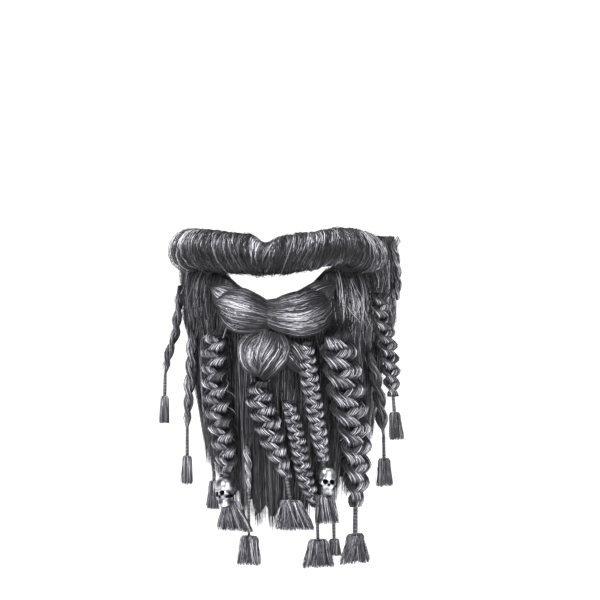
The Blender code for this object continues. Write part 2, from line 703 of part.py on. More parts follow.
def make_skull(name, tassel, size, finish):
    """A cast bead in the shape of a skull, drilled from top to bottom for the tassel's thread."""
    top, waist, _, _, away = tassel_line(TASSELS[tassel])
    share = (top.z + DROP * size["down"]) / (top.z - waist.z)
    on_thread = top + (waist - top) * share
    width, height = SKULL_WIDTH * size["size"], SKULL_HEIGHT * size["size"]

    def sized(x, y, z):
        """Shares of the bead's width, width and height as a point or as half sizes."""
        return x * width, y * width, z * height

    head = ball(name, sized(0, 0, 0.18), sized(0.5, 0.5, 0.32), finish)
    face = block("face", sized(0, -0.16, -0.10), sized(0.36, 0.30, 0.16), 0.82, finish)
    teeth = block("teeth", sized(0, -0.18, -0.25), sized(0.20, 0.20, 0.06), 1.0, finish)
    jaw = block("jaw", sized(0, -0.22, -0.37), sized(0.27, 0.22, 0.13), 0.80, finish)
    fuse(head, [face, jaw, teeth])
    hollows = [
        ball("socket", sized(side * 0.18, -0.47, -0.02), sized(0.125, 0.16, 0.085), finish, 8, 6)
        for side in (-1, 1)
    ]
    hollows.append(ball("nose", sized(0, -0.48, -0.15), sized(0.06, 0.10, 0.05), finish, 6, 4))
    fuse(head, hollows, "DIFFERENCE")
    tilt, turn = math.radians(size["tilt"]), math.radians(size["turn"])
    facing = math.atan2(away.x, -away.y)
    for vert in head.data.vertices:
        x, y, z = vert.co
        x, z = x * math.cos(tilt) + z * math.sin(tilt), z * math.cos(tilt) - x * math.sin(tilt)
        x, y = x * math.cos(turn) - y * math.sin(turn), y * math.cos(turn) + x * math.sin(turn)
        y -= SKULL_FORWARD
        x, y = x * math.cos(facing) - y * math.sin(facing), y * math.cos(facing) + x * math.sin(facing)
        vert.co = Vector((x, y, z)) + on_thread
    run = (waist - top).normalized() * height
    flat = run.cross(away).normalized()
    rings = [oval(on_thread + run * s, flat * SKULL_BORE, away * SKULL_BORE, 8) for s in (-1, 1)]
    bore = lofted("bore", rings, finish)
    return fuse(head, [bore], "DIFFERENCE")


def main():
    for old in list(bpy.data.objects):
        bpy.data.objects.remove(old)
    cloth = material("base_cloth", (0.035, 0.033, 0.036), 0.9)
    elastic = material("elastic", (0.02, 0.02, 0.022), 0.8)
    light_hair = material("light_hair", (0.20, 0.20, 0.21), 0.5)
    dark_hair = material("dark_hair", (0.035, 0.034, 0.038), 0.55)
    thread_hair = material("tassel_hair", (0.14, 0.14, 0.15), 0.6)
    silver = material("silver", (0.75, 0.75, 0.76), 0.25, 1.0)

    make_backing(cloth)
    make_elastic(elastic)
    make_moustache(light_hair)
    make_hair(dark_hair)
    for name, rows in LOCKS.items():
        make_lock(name, rows, LOCK_HALF_DEPTH, light_hair)
    strands = [make_lock("knot_strand", rows, KNOT_HALF_DEPTH, light_hair, steps=6) for rows in KNOT]
    fuse(strands[0], strands[1:]).name = "chin_knot"
    for kind, tresses in (("plait", PLAITS), ("rope", ROPES)):
        for name, rows in tresses.items():
            make_tress(name, rows, kind, light_hair)
    for name, size in TASSELS.items():
        make_tassel(name, size, thread_hair)
    for name, (tassel, size) in SKULLS.items():
        make_skull(name, tassel, size, silver)


main()
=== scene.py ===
"""The looks of a fake beard: hair laid strand by strand, bound tassels, cast beads, net and elastic.

Lengths are in metres. The beard faces -Y, +X is to the viewer's right, and the origin is the middle
of the chin. All hair is laid on one wrap round the jaw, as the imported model's solids are.
"""

from __future__ import annotations

import logging
import math
from dataclasses import dataclass, field
from enum import Enum

import bmesh
import bpy
import numpy as np
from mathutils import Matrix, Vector

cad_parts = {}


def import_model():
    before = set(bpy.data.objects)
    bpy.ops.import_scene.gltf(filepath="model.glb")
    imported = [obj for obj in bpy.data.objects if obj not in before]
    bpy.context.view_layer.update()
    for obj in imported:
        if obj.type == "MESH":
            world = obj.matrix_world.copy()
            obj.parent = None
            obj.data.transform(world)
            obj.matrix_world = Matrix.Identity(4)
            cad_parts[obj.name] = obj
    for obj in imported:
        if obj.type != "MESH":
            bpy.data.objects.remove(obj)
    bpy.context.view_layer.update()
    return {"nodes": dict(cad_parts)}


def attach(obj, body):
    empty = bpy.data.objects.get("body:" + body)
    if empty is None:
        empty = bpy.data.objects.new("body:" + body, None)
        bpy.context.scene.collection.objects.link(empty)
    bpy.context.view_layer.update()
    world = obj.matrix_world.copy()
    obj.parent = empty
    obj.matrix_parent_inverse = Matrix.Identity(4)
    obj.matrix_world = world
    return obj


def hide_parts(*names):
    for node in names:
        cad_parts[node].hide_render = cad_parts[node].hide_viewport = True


LOG = logging.getLogger("beard")
MM = 0.001
ROOT = "root"
GAP = 0.3 * MM
HALF_SPAN = 80 * MM
DROP = 171 * MM
PLAIT_WIDTH = 27 * MM
HAIR_REACH = math.radians(79)
HAIR_LOCKS = 17
HAIR_RADIUS = 0.22 * MM

Array = np.ndarray
Finish = bpy.types.Material
Piece = bpy.types.Object


class Slot(Enum):
    """The record's material slots."""

    BASE_CLOTH = "base_cloth"
    ELASTIC = "elastic"
    LIGHT_HAIR = "light_hair"
    DARK_HAIR = "dark_hair"
    TASSEL_HAIR = "tassel_hair"
    SILVER = "silver_metal"


def linear(code: str) -> tuple[float, ...]:
    """An sRGB hex colour, written #rrggbb, as linear red, green and blue with an alpha of 1."""
    parts = [int(code[i : i + 2], 16) / 255 for i in (1, 3, 5)]
    return (*(p / 12.92 if p <= 0.04045 else ((p + 0.055) / 1.055) ** 2.4 for p in parts), 1.0)


def add_object(name: str, data: bpy.types.ID) -> Piece:
    """Puts new data into the scene as an object.

    Args:
        name: the object's name.
        data: its mesh, camera or light.

    Returns:
        The object.
    """
    made = bpy.data.objects.new(name, data)
    bpy.context.scene.collection.objects.link(made)
    return made


def add_node(
    tree: bpy.types.NodeTree, kind: str, settings: dict | None = None, links: dict | None = None
) -> bpy.types.Node:
    """Adds a node to a tree.

    Args:
        tree: the node tree.
        kind: the node's type name.
        settings: properties and unlinked inputs by name.
        links: output sockets by the input they go to.

    Returns:
        The new node.
    """
    node = tree.nodes.new(kind)
    for name, value in (settings or {}).items():
        if name in node.inputs:
            node.inputs[name].default_value = value
        else:
            setattr(node, name, value)
    for name, socket in (links or {}).items():
        tree.links.new(socket, node.inputs[name])
    return node


def new_material(name: str) -> tuple[Finish, bpy.types.NodeTree]:
    """An empty node material and its tree."""
    made = bpy.data.materials.new(name)
    made.use_nodes = True
    made.node_tree.nodes.clear()
    return made, made.node_tree


def set_ramp(node: bpy.types.Node, stops: tuple[tuple[float, str], ...]) -> None:
    """Gives a colour ramp its stops.

    Args:
        node: the ColorRamp node.
        stops: places from 0 to 1 with sRGB hex colours.
    """
    ramp = node.color_ramp
    while len(ramp.elements) > 1:
        ramp.elements.remove(ramp.elements[-1])
    for k, (place, code) in enumerate(stops):
        element = ramp.elements[0] if k == 0 else ramp.elements.new(place)
        element.position = place
        element.color = linear(code)


@dataclass(frozen=True)
class HairFinish:
    """Synthetic hair in mixed black, grey and white strands.

    Each strand carries a tint that holds its own colour and the painted highlight and shade laid
    along it, and its shade drifts along its length as drawn fibre does.
    """

    name: str
    stops: tuple[tuple[float, str], ...]
    roughness: float = 0.42
    specular: float = 0.5
    drift_mm: float = 5.0
    drift_depth: float = 0.22

    def make(self) -> Finish:
        """Builds the material.

        Returns:
            The material, which reads the strands' tint attribute.
        """
        made, tree = new_material(self.name)
        tint = add_node(tree, "ShaderNodeAttribute", {"attribute_name": "tint"})
        place = add_node(tree, "ShaderNodeTexCoord")
        drift = add_node(
            tree,
            "ShaderNodeTexNoise",
            {"Scale": 1 / (self.drift_mm * MM), "Detail": 2.0},
            {"Vector": place.outputs["Object"]},
        )
        centred = add_node(
            tree, "ShaderNodeMath", {"operation": "MULTIPLY_ADD"}, {0: drift.outputs["Fac"]}
        )
        centred.inputs[1].default_value = self.drift_depth
        centred.inputs[2].default_value = -self.drift_depth / 2
        mixed = add_node(
            tree, "ShaderNodeMath", {"operation": "ADD"}, {0: tint.outputs["Fac"], 1: centred.outputs[0]}
        )
        colour = add_node(tree, "ShaderNodeValToRGB", links={"Fac": mixed.outputs[0]})
        set_ramp(colour, self.stops)
        shader = add_node(
            tree,
            "ShaderNodeBsdfPrincipled",
            {"Roughness": self.roughness, "Specular IOR Level": self.specular},
            {"Base Color": colour.outputs["Color"]},
        )
        add_node(tree, "ShaderNodeOutputMaterial", links={"Surface": shader.outputs["BSDF"]})
        return made


@dataclass(frozen=True)
class NetFinish:
    """Fine woven nylon net, dyed nearly black: small square openings show as a darker grid."""

    name: str = "woven_nylon_net"
    thread: str = "#2b292c"
    opening: str = "#0e0d0f"
    mesh_mm: float = 1.4
    roughness: float = 0.85

    def make(self) -> Finish:
        """Builds the material.

        Returns:
            The material, with its weave on the object's own coordinates.
        """
        made, tree = new_material(self.name)
        place = add_node(tree, "ShaderNodeTexCoord")
        waves = []
        for direction in ("X", "Z"):
            waves.append(
                add_node(
                    tree,
                    "ShaderNodeTexWave",
                    {
                        "bands_direction": direction,
                        "Scale": math.pi / 10 / (self.mesh_mm * MM),
                        "Distortion": 0.4,
                    },
                    {"Vector": place.outputs["Object"]},
                )
            )
        weave = add_node(
            tree,
            "ShaderNodeMath",
            {"operation": "MAXIMUM"},
            {0: waves[0].outputs["Fac"], 1: waves[1].outputs["Fac"]},
        )
        colour = add_node(tree, "ShaderNodeValToRGB", links={"Fac": weave.outputs[0]})
        set_ramp(colour, ((0.35, self.opening), (0.75, self.thread)))
        bump = add_node(
            tree, "ShaderNodeBump", {"Strength": 0.5, "Distance": 0.2 * MM}, {"Height": weave.outputs[0]}
        )
        shader = add_node(
            tree,
            "ShaderNodeBsdfPrincipled",
            {"Roughness": self.roughness},
            {"Base Color": colour.outputs["Color"], "Normal": bump.outputs["Normal"]},
        )
        add_node(tree, "ShaderNodeOutputMaterial", links={"Surface": shader.outputs["BSDF"]})
        return made


@dataclass(frozen=True)
class ElasticFinish:
    """Flat woven black elastic: fine ribs along it and a faint cross weave, with a low sheen."""

    name: str = "woven_elastic"
    rib: str = "#232226"
    # The furrow colour is painted shade between the ribs.
    furrow: str = "#0b0b0d"
    rib_mm: float = 1.0
    roughness: float = 0.7

    def make(self) -> Finish:
        """Builds the material.

        Returns:
            The material, with its ribs level along the band.
        """
        made, tree = new_material(self.name)
        place = add_node(tree, "ShaderNodeTexCoord")
        ribs = add_node(
            tree,
            "ShaderNodeTexWave",
            {"bands_direction": "Z", "Scale": math.pi / 10 / (self.rib_mm * MM)},
            {"Vector": place.outputs["Object"]},
        )
        grain = add_node(
            tree,
            "ShaderNodeTexNoise",
            {"Scale": 1 / (0.6 * MM), "Detail": 2.0},
            {"Vector": place.outputs["Object"]},
        )
        weave = add_node(
            tree,
            "ShaderNodeMath",
            {"operation": "MULTIPLY"},
            {0: ribs.outputs["Fac"], 1: grain.outputs["Fac"]},
        )
        # Darker furrows between the ribs are painted shade; the grain is the weave's own unevenness.
        colour = add_node(tree, "ShaderNodeValToRGB", links={"Fac": weave.outputs[0]})
        set_ramp(colour, ((0.1, self.furrow), (0.6, self.rib)))
        bump = add_node(
            tree, "ShaderNodeBump", {"Strength": 0.6, "Distance": 0.2 * MM}, {"Height": ribs.outputs["Fac"]}
        )
        shader = add_node(
            tree,
            "ShaderNodeBsdfPrincipled",
            {"Roughness": self.roughness},
            {"Base Color": colour.outputs["Color"], "Normal": bump.outputs["Normal"]},
        )
        add_node(tree, "ShaderNodeOutputMaterial", links={"Surface": shader.outputs["BSDF"]})
        return made


@dataclass(frozen=True)
class CastMetalFinish:
    """Bright cast zinc with a plated silver face: high spots polished, hollows duller and darker."""

    name: str = "plated_cast_metal"
    bright: str = "#dadade"
    dull: str = "#6a6a70"
    hollow: str = "#0c0c0e"
    roughness_low: float = 0.18
    roughness_high: float = 0.42
    cloud_mm: float = 5.0

    def make(self) -> Finish:
        """Builds the material.

        Returns:
            The metal, uneven at the scale of a casting's surface.
        """
        made, tree = new_material(self.name)
        place = add_node(tree, "ShaderNodeTexCoord")
        cloud = add_node(
            tree,
            "ShaderNodeTexNoise",
            {"Scale": 1 / (self.cloud_mm * MM), "Detail": 2.0},
            {"Vector": place.outputs["Object"]},
        )
        hollow = add_node(tree, "ShaderNodeAttribute", {"attribute_name": "hollow"})
        sunk = add_node(
            tree,
            "ShaderNodeMath",
            {"operation": "SUBTRACT"},
            {0: cloud.outputs["Fac"], 1: hollow.outputs["Fac"]},
        )
        colour = add_node(tree, "ShaderNodeValToRGB", links={"Fac": sunk.outputs[0]})
        set_ramp(colour, ((0.0, self.hollow), (0.35, self.dull), (0.62, self.bright)))
        rough = add_node(
            tree,
            "ShaderNodeMapRange",
            {"To Min": self.roughness_high, "To Max": self.roughness_low},
            {"Value": sunk.outputs[0]},
        )
        grit = add_node(
            tree,
            "ShaderNodeTexNoise",
            {"Scale": 1 / (0.7 * MM), "Detail": 3.0},
            {"Vector": place.outputs["Object"]},
        )
        bump = add_node(
            tree, "ShaderNodeBump", {"Strength": 0.25, "Distance": 0.15 * MM}, {"Height": grit.outputs["Fac"]}
        )
        shader = add_node(
            tree,
            "ShaderNodeBsdfPrincipled",
            {"Metallic": 1.0},
            {
                "Base Color": colour.outputs["Color"],
                "Roughness": rough.outputs["Result"],
                "Normal": bump.outputs["Normal"],
            },
        )
        add_node(tree, "ShaderNodeOutputMaterial", links={"Surface": shader.outputs["BSDF"]})
        return made


LIGHT_STOPS = ((0.0, "#050507"), (0.28, "#1d1c21"), (0.55, "#605f66"), (0.8, "#b3b2b9"), (1.0, "#f4f3f8"))
DARK_STOPS = ((0.0, "#060608"), (0.35, "#27262b"), (0.7, "#706f76"), (1.0, "#c4c3ca"))


def smooth(t: Array | float) -> Array:
    """An even ramp from 0 to 1, flat at both ends."""
    t = np.clip(t, 0.0, 1.0)
    return t * t * (3 - 2 * t)


def swell(t: Array, middle: float, reach: float) -> Array:
    """A rounded rise to 1 at its middle."""
    return np.exp(-(((t - middle) / reach) ** 2))


def circle(count: int) -> Array:
    """Even turns round a ring."""
    return np.linspace(0, 2 * math.pi, count + 1)[:-1]


def vectors(x: Array, y: Array, z: Array) -> Array:
    """Joins coordinates into points along a last axis."""
    return np.stack(np.broadcast_arrays(x, y, z), axis=-1)


def unit(v: Array) -> Array:
    """Vectors of length 1 along a last axis."""
    return v / np.maximum(np.linalg.norm(v, axis=-1, keepdims=True), 1e-9)


def turned(a: Array, b: Array, angle: float) -> tuple[Array, Array]:
    """A pair of coordinates turned by an angle."""
    return a * math.cos(angle) - b * math.sin(angle), b * math.cos(angle) + a * math.sin(angle)


def read(places: tuple[float, ...], values: tuple[float, ...], at: Array | float) -> Array:
    """Reads a curve through a table's values that never overshoots them.

    Args:
        places: where the values stand, rising.
        values: the values.
        at: where to read.

    Returns:
        The values there.
    """
    p, v = np.asarray(places, float), np.asarray(values, float)
    at = np.clip(np.asarray(at, float), p[0], p[-1])
    slopes = np.diff(v) / np.diff(p)
    a, b = slopes[:-1], slopes[1:]
    total = np.where(a * b > 0, a + b, 1.0)
    ends = np.concatenate(([slopes[0]], np.where(a * b > 0, 2 * a * b / total, 0.0), [slopes[-1]]))
    i = np.clip(np.searchsorted(p, at, side="right") - 1, 0, len(p) - 2)
    span = p[i + 1] - p[i]
    t = (at - p[i]) / span
    left = v[i] * (1 + 2 * t) + ends[i] * span * t
    right = v[i + 1] * (3 - 2 * t) - ends[i + 1] * span * (1 - t)
    return left * (1 - t) ** 2 + right * t**2


@dataclass(frozen=True)
class JawWrap:
    """The wrap round the jaw that all the hair lies on: an ellipse in plan at each height."""

    half_width: float = 74 * MM
    depth: float = 88 * MM
    downs: tuple[float, ...] = (-0.36, -0.17, 0.0, 0.13, 0.40, 0.70, 1.0)
    widths: tuple[float, ...] = (1.0, 0.985, 0.945, 0.900, 0.880, 0.850, 0.800)
    setbacks: tuple[float, ...] = (0.050, 0.0, 0.0, 0.045, 0.075, 0.060, 0.040)

    def wide(self, z: Array) -> Array:
        """Half the wrap's width at these heights."""
        return self.half_width * read(self.downs, self.widths, -np.asarray(z) / DROP)

    def point(self, angle: Array, z: Array, out: Array) -> Array:
        """Points on the wrap or off it.

        Args:
            angle: turns from the middle, in radians.
            z: heights.
            out: distances outside the cloth.

        Returns:
            The points.
        """
        setback = HALF_SPAN * read(self.downs, self.setbacks, -np.asarray(z) / DROP)
        x = (self.wide(z) + out) * np.sin(angle)
        return vectors(x, setback + self.depth - (self.depth + out) * np.cos(angle), np.asarray(z, float))

    def facing(self, angle: Array, z: Array, out: Array) -> tuple[Array, Array]:
        """The level directions along the wrap and away from it.

        Args:
            angle: turns from the middle.
            z: heights.
            out: distances outside the cloth.

        Returns:
            Both directions at each place.
        """
        x, y = (self.wide(z) + out) * np.cos(angle), (self.depth + out) * np.sin(angle)
        side = unit(vectors(x, y, np.zeros_like(z)))
        return side, vectors(side[..., 1], -side[..., 0], np.zeros_like(z))

    def angle_at(self, across: Array, z: Array, out: Array) -> Array:
        """The turn at which the wrap reaches this far across."""
        return np.arcsin(np.clip(across / (self.wide(z) + out), -0.985, 0.985))


@dataclass(frozen=True)
class HairForm:
    """The outer form of the cheek hair and of the hair that hangs below the jaw."""

    wrap: JawWrap = JawWrap()
    thick: float = 7 * MM
    fall_thick: float = 9 * MM
    fall_tip: float = 2.2 * MM
    fall_least: float = 12 * MM
    tip_notch: float = 7 * MM
    groove_depth: float = 0.38
    cloth_top: float = 57 * MM
    cloth_chin: float = 22 * MM
    jaw_rise: float = 34 * MM
    cloth_reach: float = math.radians(80)
    sideburn_start: float = math.radians(50)
    sideburn_span: float = math.radians(18)
    mouth_half: float = 37 * MM
    mouth_low: float = 11.5 * MM
    mouth_off: float = 2 * MM
    mouth_level: float = 35 * MM
    end_turns: tuple[float, ...] = (
        -1.0, -0.92, -0.82, -0.70, -0.52, -0.32, 0.0, 0.20, 0.40, 0.60, 0.74, 0.85, 0.93, 1.0,
    )
    end_downs: tuple[float, ...] = (
        0.07, 0.22, 0.46, 0.59, 0.66, 0.77, 0.84, 0.83, 0.75, 0.71, 0.60, 0.42, 0.20, 0.07,
    )

    def split(self, angle: Array) -> Array:
        """The height at which the hair leaves the cloth."""
        return -self.cloth_chin + self.jaw_rise * smooth(np.abs(angle) / self.cloth_reach) + GAP

    def mouth_edge(self, across: Array) -> Array:
        """The height of the hair's edge under the mouth hole and under the moustache."""
        share = np.minimum(1.0, np.abs(across - self.mouth_off) / self.mouth_half)
        return self.mouth_low + (Moustache.foot(across) - 2 * GAP - self.mouth_low) * share**1.5

    def top(self, angle: Array) -> Array:
        """The height of the cheek hair's upper edge, which climbs to the sideburns.

        Args:
            angle: turns from the middle.

        Returns:
            The heights.
        """
        level = np.full_like(angle, self.mouth_level)
        edge = self.mouth_edge(self.wrap.point(angle, level, self.thick)[..., 0])
        burn = smooth((np.abs(angle) - self.sideburn_start) / self.sideburn_span)
        return edge - GAP + (self.cloth_top - edge) * burn

    def groove(self, angle: Array) -> Array:
        """How deep the furrow between two locks is, from 0 to 1."""
        return np.abs(np.sin(angle / HAIR_REACH * HAIR_LOCKS * math.pi / 2)) ** 3

    def end(self, angle: Array) -> Array:
        """The height of the hanging hair's lower edge."""
        low = -DROP * read(self.end_turns, self.end_downs, angle / HAIR_REACH)
        return np.minimum(low + self.tip_notch * self.groove(angle), self.split(angle) - self.fall_least)

    def depth(self, angle: Array, z: Array) -> Array:
        """How thick the hair is here.

        Args:
            angle: turns from the middle.
            z: heights.

        Returns:
            The thicknesses.
        """
        split = self.split(angle)
        upper = self.thick * (0.45 + 0.55 * smooth((self.top(angle) - z) / self.thick))
        share = (split - z) / (split - self.end(angle))
        full = self.thick + (self.fall_thick - self.thick) * smooth(share * 3)
        lower = full + (self.fall_tip - full) * smooth((share - 0.45) / 0.55)
        return np.where(z > split, upper, lower)

    def furrowed(self, angle: Array, z: Array, share: float = 1.0) -> Array:
        """How thick the hair is here, with this share of the furrows' depth."""
        return self.depth(angle, z) * (1 - share * self.groove_depth * self.groove(angle))


FORM = HairForm()
WRAP = FORM.wrap


class StrandTree:
    """The Geometry Nodes tree that turns open lines into closed strands, beside the dark forms, painted
    shade, under them.
    """

    SIDES = 3
    _made: bpy.types.NodeTree | None = None

    @classmethod
    def get(cls) -> bpy.types.NodeTree:
        """Builds the tree once.

        Returns:
            The tree, with inputs Geometry and Finish.
        """
        if cls._made is not None:
            return cls._made
        tree = bpy.data.node_groups.new("strands", "GeometryNodeTree")
        for name, way, kind in (
            ("Geometry", "INPUT", "NodeSocketGeometry"),
            ("Finish", "INPUT", "NodeSocketMaterial"),
            ("Geometry", "OUTPUT", "NodeSocketGeometry"),
        ):
            tree.interface.new_socket(name, in_out=way, socket_type=kind)
        given = add_node(tree, "NodeGroupInput").outputs
        solid, thick = (
            add_node(tree, "GeometryNodeInputNamedAttribute", {"data_type": kind, "Name": name})
            for kind, name in (("BOOLEAN", "solid"), ("FLOAT", "thick"))
        )
        links = {"Geometry": given["Geometry"], "Selection": solid.outputs["Attribute"]}
        parts = add_node(tree, "GeometryNodeSeparateGeometry", {"domain": "POINT"}, links)
        lines = add_node(tree, "GeometryNodeMeshToCurve", links={"Mesh": parts.outputs["Inverted"]})
        ring = add_node(tree, "GeometryNodeCurvePrimitiveCircle", {"Radius": 1.0, "Resolution": cls.SIDES})
        links = {
            "Curve": lines.outputs["Curve"],
            "Profile Curve": ring.outputs["Curve"],
            "Scale": thick.outputs["Attribute"],
        }
        tubes = add_node(tree, "GeometryNodeCurveToMesh", {"Fill Caps": True}, links)
        joined = add_node(tree, "GeometryNodeJoinGeometry")
        for socket in (tubes.outputs["Mesh"], parts.outputs["Selection"]):
            tree.links.new(socket, joined.inputs["Geometry"])
        last = joined
        for kind in ("GeometryNodeSetShadeSmooth", "GeometryNodeRealizeInstances", "GeometryNodeSetMaterial"):
            last = add_node(tree, kind, links={"Geometry": last.outputs["Geometry"]})
        tree.links.new(given["Finish"], last.inputs["Material"])
        add_node(tree, "NodeGroupOutput", links={"Geometry": last.outputs["Geometry"]})
        cls._made = tree
        return tree


def bake_tree(source: Piece, tree: bpy.types.NodeTree, inputs: dict[str, object]) -> None:
    """Runs a Geometry Nodes tree on an object and keeps its result as a plain mesh.

    Args:
        source: the object, which keeps its name.
        tree: the tree.
        inputs: values by the names of the tree's inputs.
    """
    modifier = source.modifiers.new("tree", "NODES")
    modifier.node_group = tree
    for item in tree.interface.items_tree:
        if item.item_type == "SOCKET" and item.in_out == "INPUT" and item.name in inputs:
            modifier[item.identifier] = inputs[item.name]
    graph = bpy.context.evaluated_depsgraph_get()
    mesh = bpy.data.meshes.new_from_object(source.evaluated_get(graph))
    old = source.data
    source.modifiers.clear()
    source.data = mesh
    bpy.data.meshes.remove(old)


def outward(piece: Piece) -> None:
    """Turns a piece's faces to point out.

    Args:
        piece: the piece, whose mesh changes.
    """
    work = bmesh.new()
    work.from_mesh(piece.data)
    bmesh.ops.recalc_face_normals(work, faces=work.faces)
    work.to_mesh(piece.data)
    work.free()


def mount(piece: Piece, slot: Slot, *nodes: str) -> Piece:
    """Rides a piece on the beard and lets it stand for nodes.

    Args:
        piece: the finished piece.
        slot: the record's material slot; not used.
        nodes: the nodes that it replaces.

    Returns:
        The piece.
    """
    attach(piece, ROOT)
    if nodes:
        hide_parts(*nodes)
    triangles = sum(len(face.vertices) - 2 for face in piece.data.polygons)
    LOG.info("%s: %d triangles", piece.name, triangles)
    return piece


def loft(rows: int, count: int, start: int = 0) -> list[tuple[int, ...]]:
    """The faces of a closed form through rings of points, with both ends capped.

    Args:
        rows: how many rings there are.
        count: how many points a ring has.
        start: the first point's number.

    Returns:
        The faces, as numbers of points.
    """
    faces = []
    for row in range(start, start + (rows - 1) * count, count):
        for j in range(count):
            a, b = row + j, row + (j + 1) % count
            faces.append((a, b, b + count, a + count))
    last = start + (rows - 1) * count
    return faces + [tuple(range(start, start + count))[::-1], tuple(range(last, last + count))]


@dataclass
class Strands:
    """Hair gathered as arrays: open lines with their own thickness and tint, and closed forms under them."""

    seed: int
    points: list[Array] = field(default_factory=list)
    thicks: list[Array] = field(default_factory=list)
    tints: list[Array] = field(default_factory=list)
    solids: list[Array] = field(default_factory=list)
    edges: list[Array] = field(default_factory=list)
    faces: list[tuple[int, ...]] = field(default_factory=list)
    count: int = 0

    def __post_init__(self) -> None:
        """Seeds the random numbers."""
        self.random = np.random.default_rng(self.seed)

    def even(self, low: float, high: float, count: int) -> Array:
        """A column of evenly spread random numbers."""
        return self.random.uniform(low, high, (count, 1))

    def normal(self, deviation: float, count: int) -> Array:
        """A column of normal random numbers round 0."""
        return self.random.normal(0, deviation, (count, 1))

    def share(self, count: int) -> Array:
        """A column of random shares from 0 to 1."""
        return self.random.random((count, 1))

    def shades(self, count: int, middle: float, white: float) -> Array:
        """A column of tints, most of them round one shade, some dark and a few white.

        Args:
            count: how many strands.
            middle: the shade of most.
            white: the share that is white.

        Returns:
            The tints.
        """
        tints = middle + self.random.normal(-0.05, 0.15, count)
        dark = self.random.random(count) < 0.38
        tints[dark] = middle * self.random.uniform(0.1, 0.6, int(dark.sum()))
        pale = self.random.random(count) < white
        tints[pale] = self.random.uniform(0.70, 1.0, int(pale.sum()))
        return np.clip(tints, 0.02, 1.0)[:, None]

    def _keep(self, points: Array, thick: Array | float, tint: Array | float, solid: bool) -> int:
        """Stores points with their attributes.

        Args:
            points: the points, as rows.
            thick: their strand's radius.
            tint: their tint.
            solid: whether they belong to a form and not to a strand.

        Returns:
            The first point's number.
        """
        start, number = self.count, len(points)
        self.points.append(points)
        self.thicks.append(np.broadcast_to(thick, number))
        self.tints.append(np.broadcast_to(tint, number))
        self.solids.append(np.full(number, solid))
        self.count += number
        return start

    def lay(self, lines: Array, thick: Array | float, tint: Array | float) -> None:
        """Adds strands.

        Args:
            lines: their points, as strands by points by 3.
            thick: their radius, in a shape that spreads to strands by points.
            tint: their tint from 0 black to 1 white, likewise.
        """
        n, m, _ = lines.shape
        tint = np.clip(tint, 0.02, 1)
        radii, shades = (np.broadcast_to(values, (n, m)).ravel() for values in (thick, tint))
        start = self._keep(lines.reshape(-1, 3), radii, shades, False)
        first = start + np.arange(n)[:, None] * m + np.arange(m - 1)[None, :]
        self.edges.append(np.stack([first.ravel(), first.ravel() + 1], axis=1))

    def fill(self, rings: Array, tint: float) -> None:
        """Adds a closed form lofted through rings of points, with both ends capped.

        Args:
            rings: its points, as rings by points by 3.
            tint: its tint.
        """
        self.faces += loft(*rings.shape[:2], self._keep(rings.reshape(-1, 3), 0.0, tint, True))

    def slab(self, front: Array, back: Array, tint: float) -> None:
        """Adds a closed form between two grids of points of the same size.

        Args:
            front: the outer grid, as rows by columns by 3.
            back: the inner grid.
            tint: its tint.
        """
        rows, columns, _ = front.shape
        start = self._keep(np.concatenate([front.reshape(-1, 3), back.reshape(-1, 3)]), 0.0, tint, True)
        size = rows * columns
        for shift, way in ((0, 1), (size, -1)):
            for i in range(rows - 1):
                for j in range(columns - 1):
                    a = start + shift + i * columns + j
                    self.faces.append((a, a + columns, a + columns + 1, a + 1)[::way])
        rim = [(0, j) for j in range(columns)] + [(i, columns - 1) for i in range(1, rows)]
        rim += [(rows - 1, j) for j in range(columns - 2, -1, -1)] + [(i, 0) for i in range(rows - 2, 0, -1)]
        numbers = [start + i * columns + j for i, j in rim]
        for a, b in zip(numbers, numbers[1:] + numbers[:1]):
            self.faces.append((a, b, b + size, a + size))

    def piece(self, name: str, node: str, slot: Slot, finish: Finish) -> Piece:
        """Turns all that was gathered into one piece that stands for a node.

        Args:
            name: the piece's name.
            node: the node that it replaces.
            slot: the record's material slot.
            finish: its material.

        Returns:
            The piece.
        """
        mesh = bpy.data.meshes.new(name)
        mesh.from_pydata(np.concatenate(self.points), np.concatenate(self.edges), self.faces)
        for key, kind, values in (
            ("thick", "FLOAT", self.thicks),
            ("tint", "FLOAT", self.tints),
            ("solid", "BOOLEAN", self.solids),
        ):
            mesh.attributes.new(key, kind, "POINT").data.foreach_set("value", np.concatenate(values))
        made = add_object(name, mesh)
        bake_tree(made, StrandTree.get(), {"Finish": finish})
        outward(made)
        return mount(made, slot, node)


def tapered(count: int, start: float = 0.6, end: float = 0.35) -> Array:
    """A strand's thickness along its length, full in the middle and finer at its ends."""
    t = np.linspace(0, 1, count)
    return np.minimum(1.0, np.minimum(start + 4 * t, end + 4 * (1 - t)))


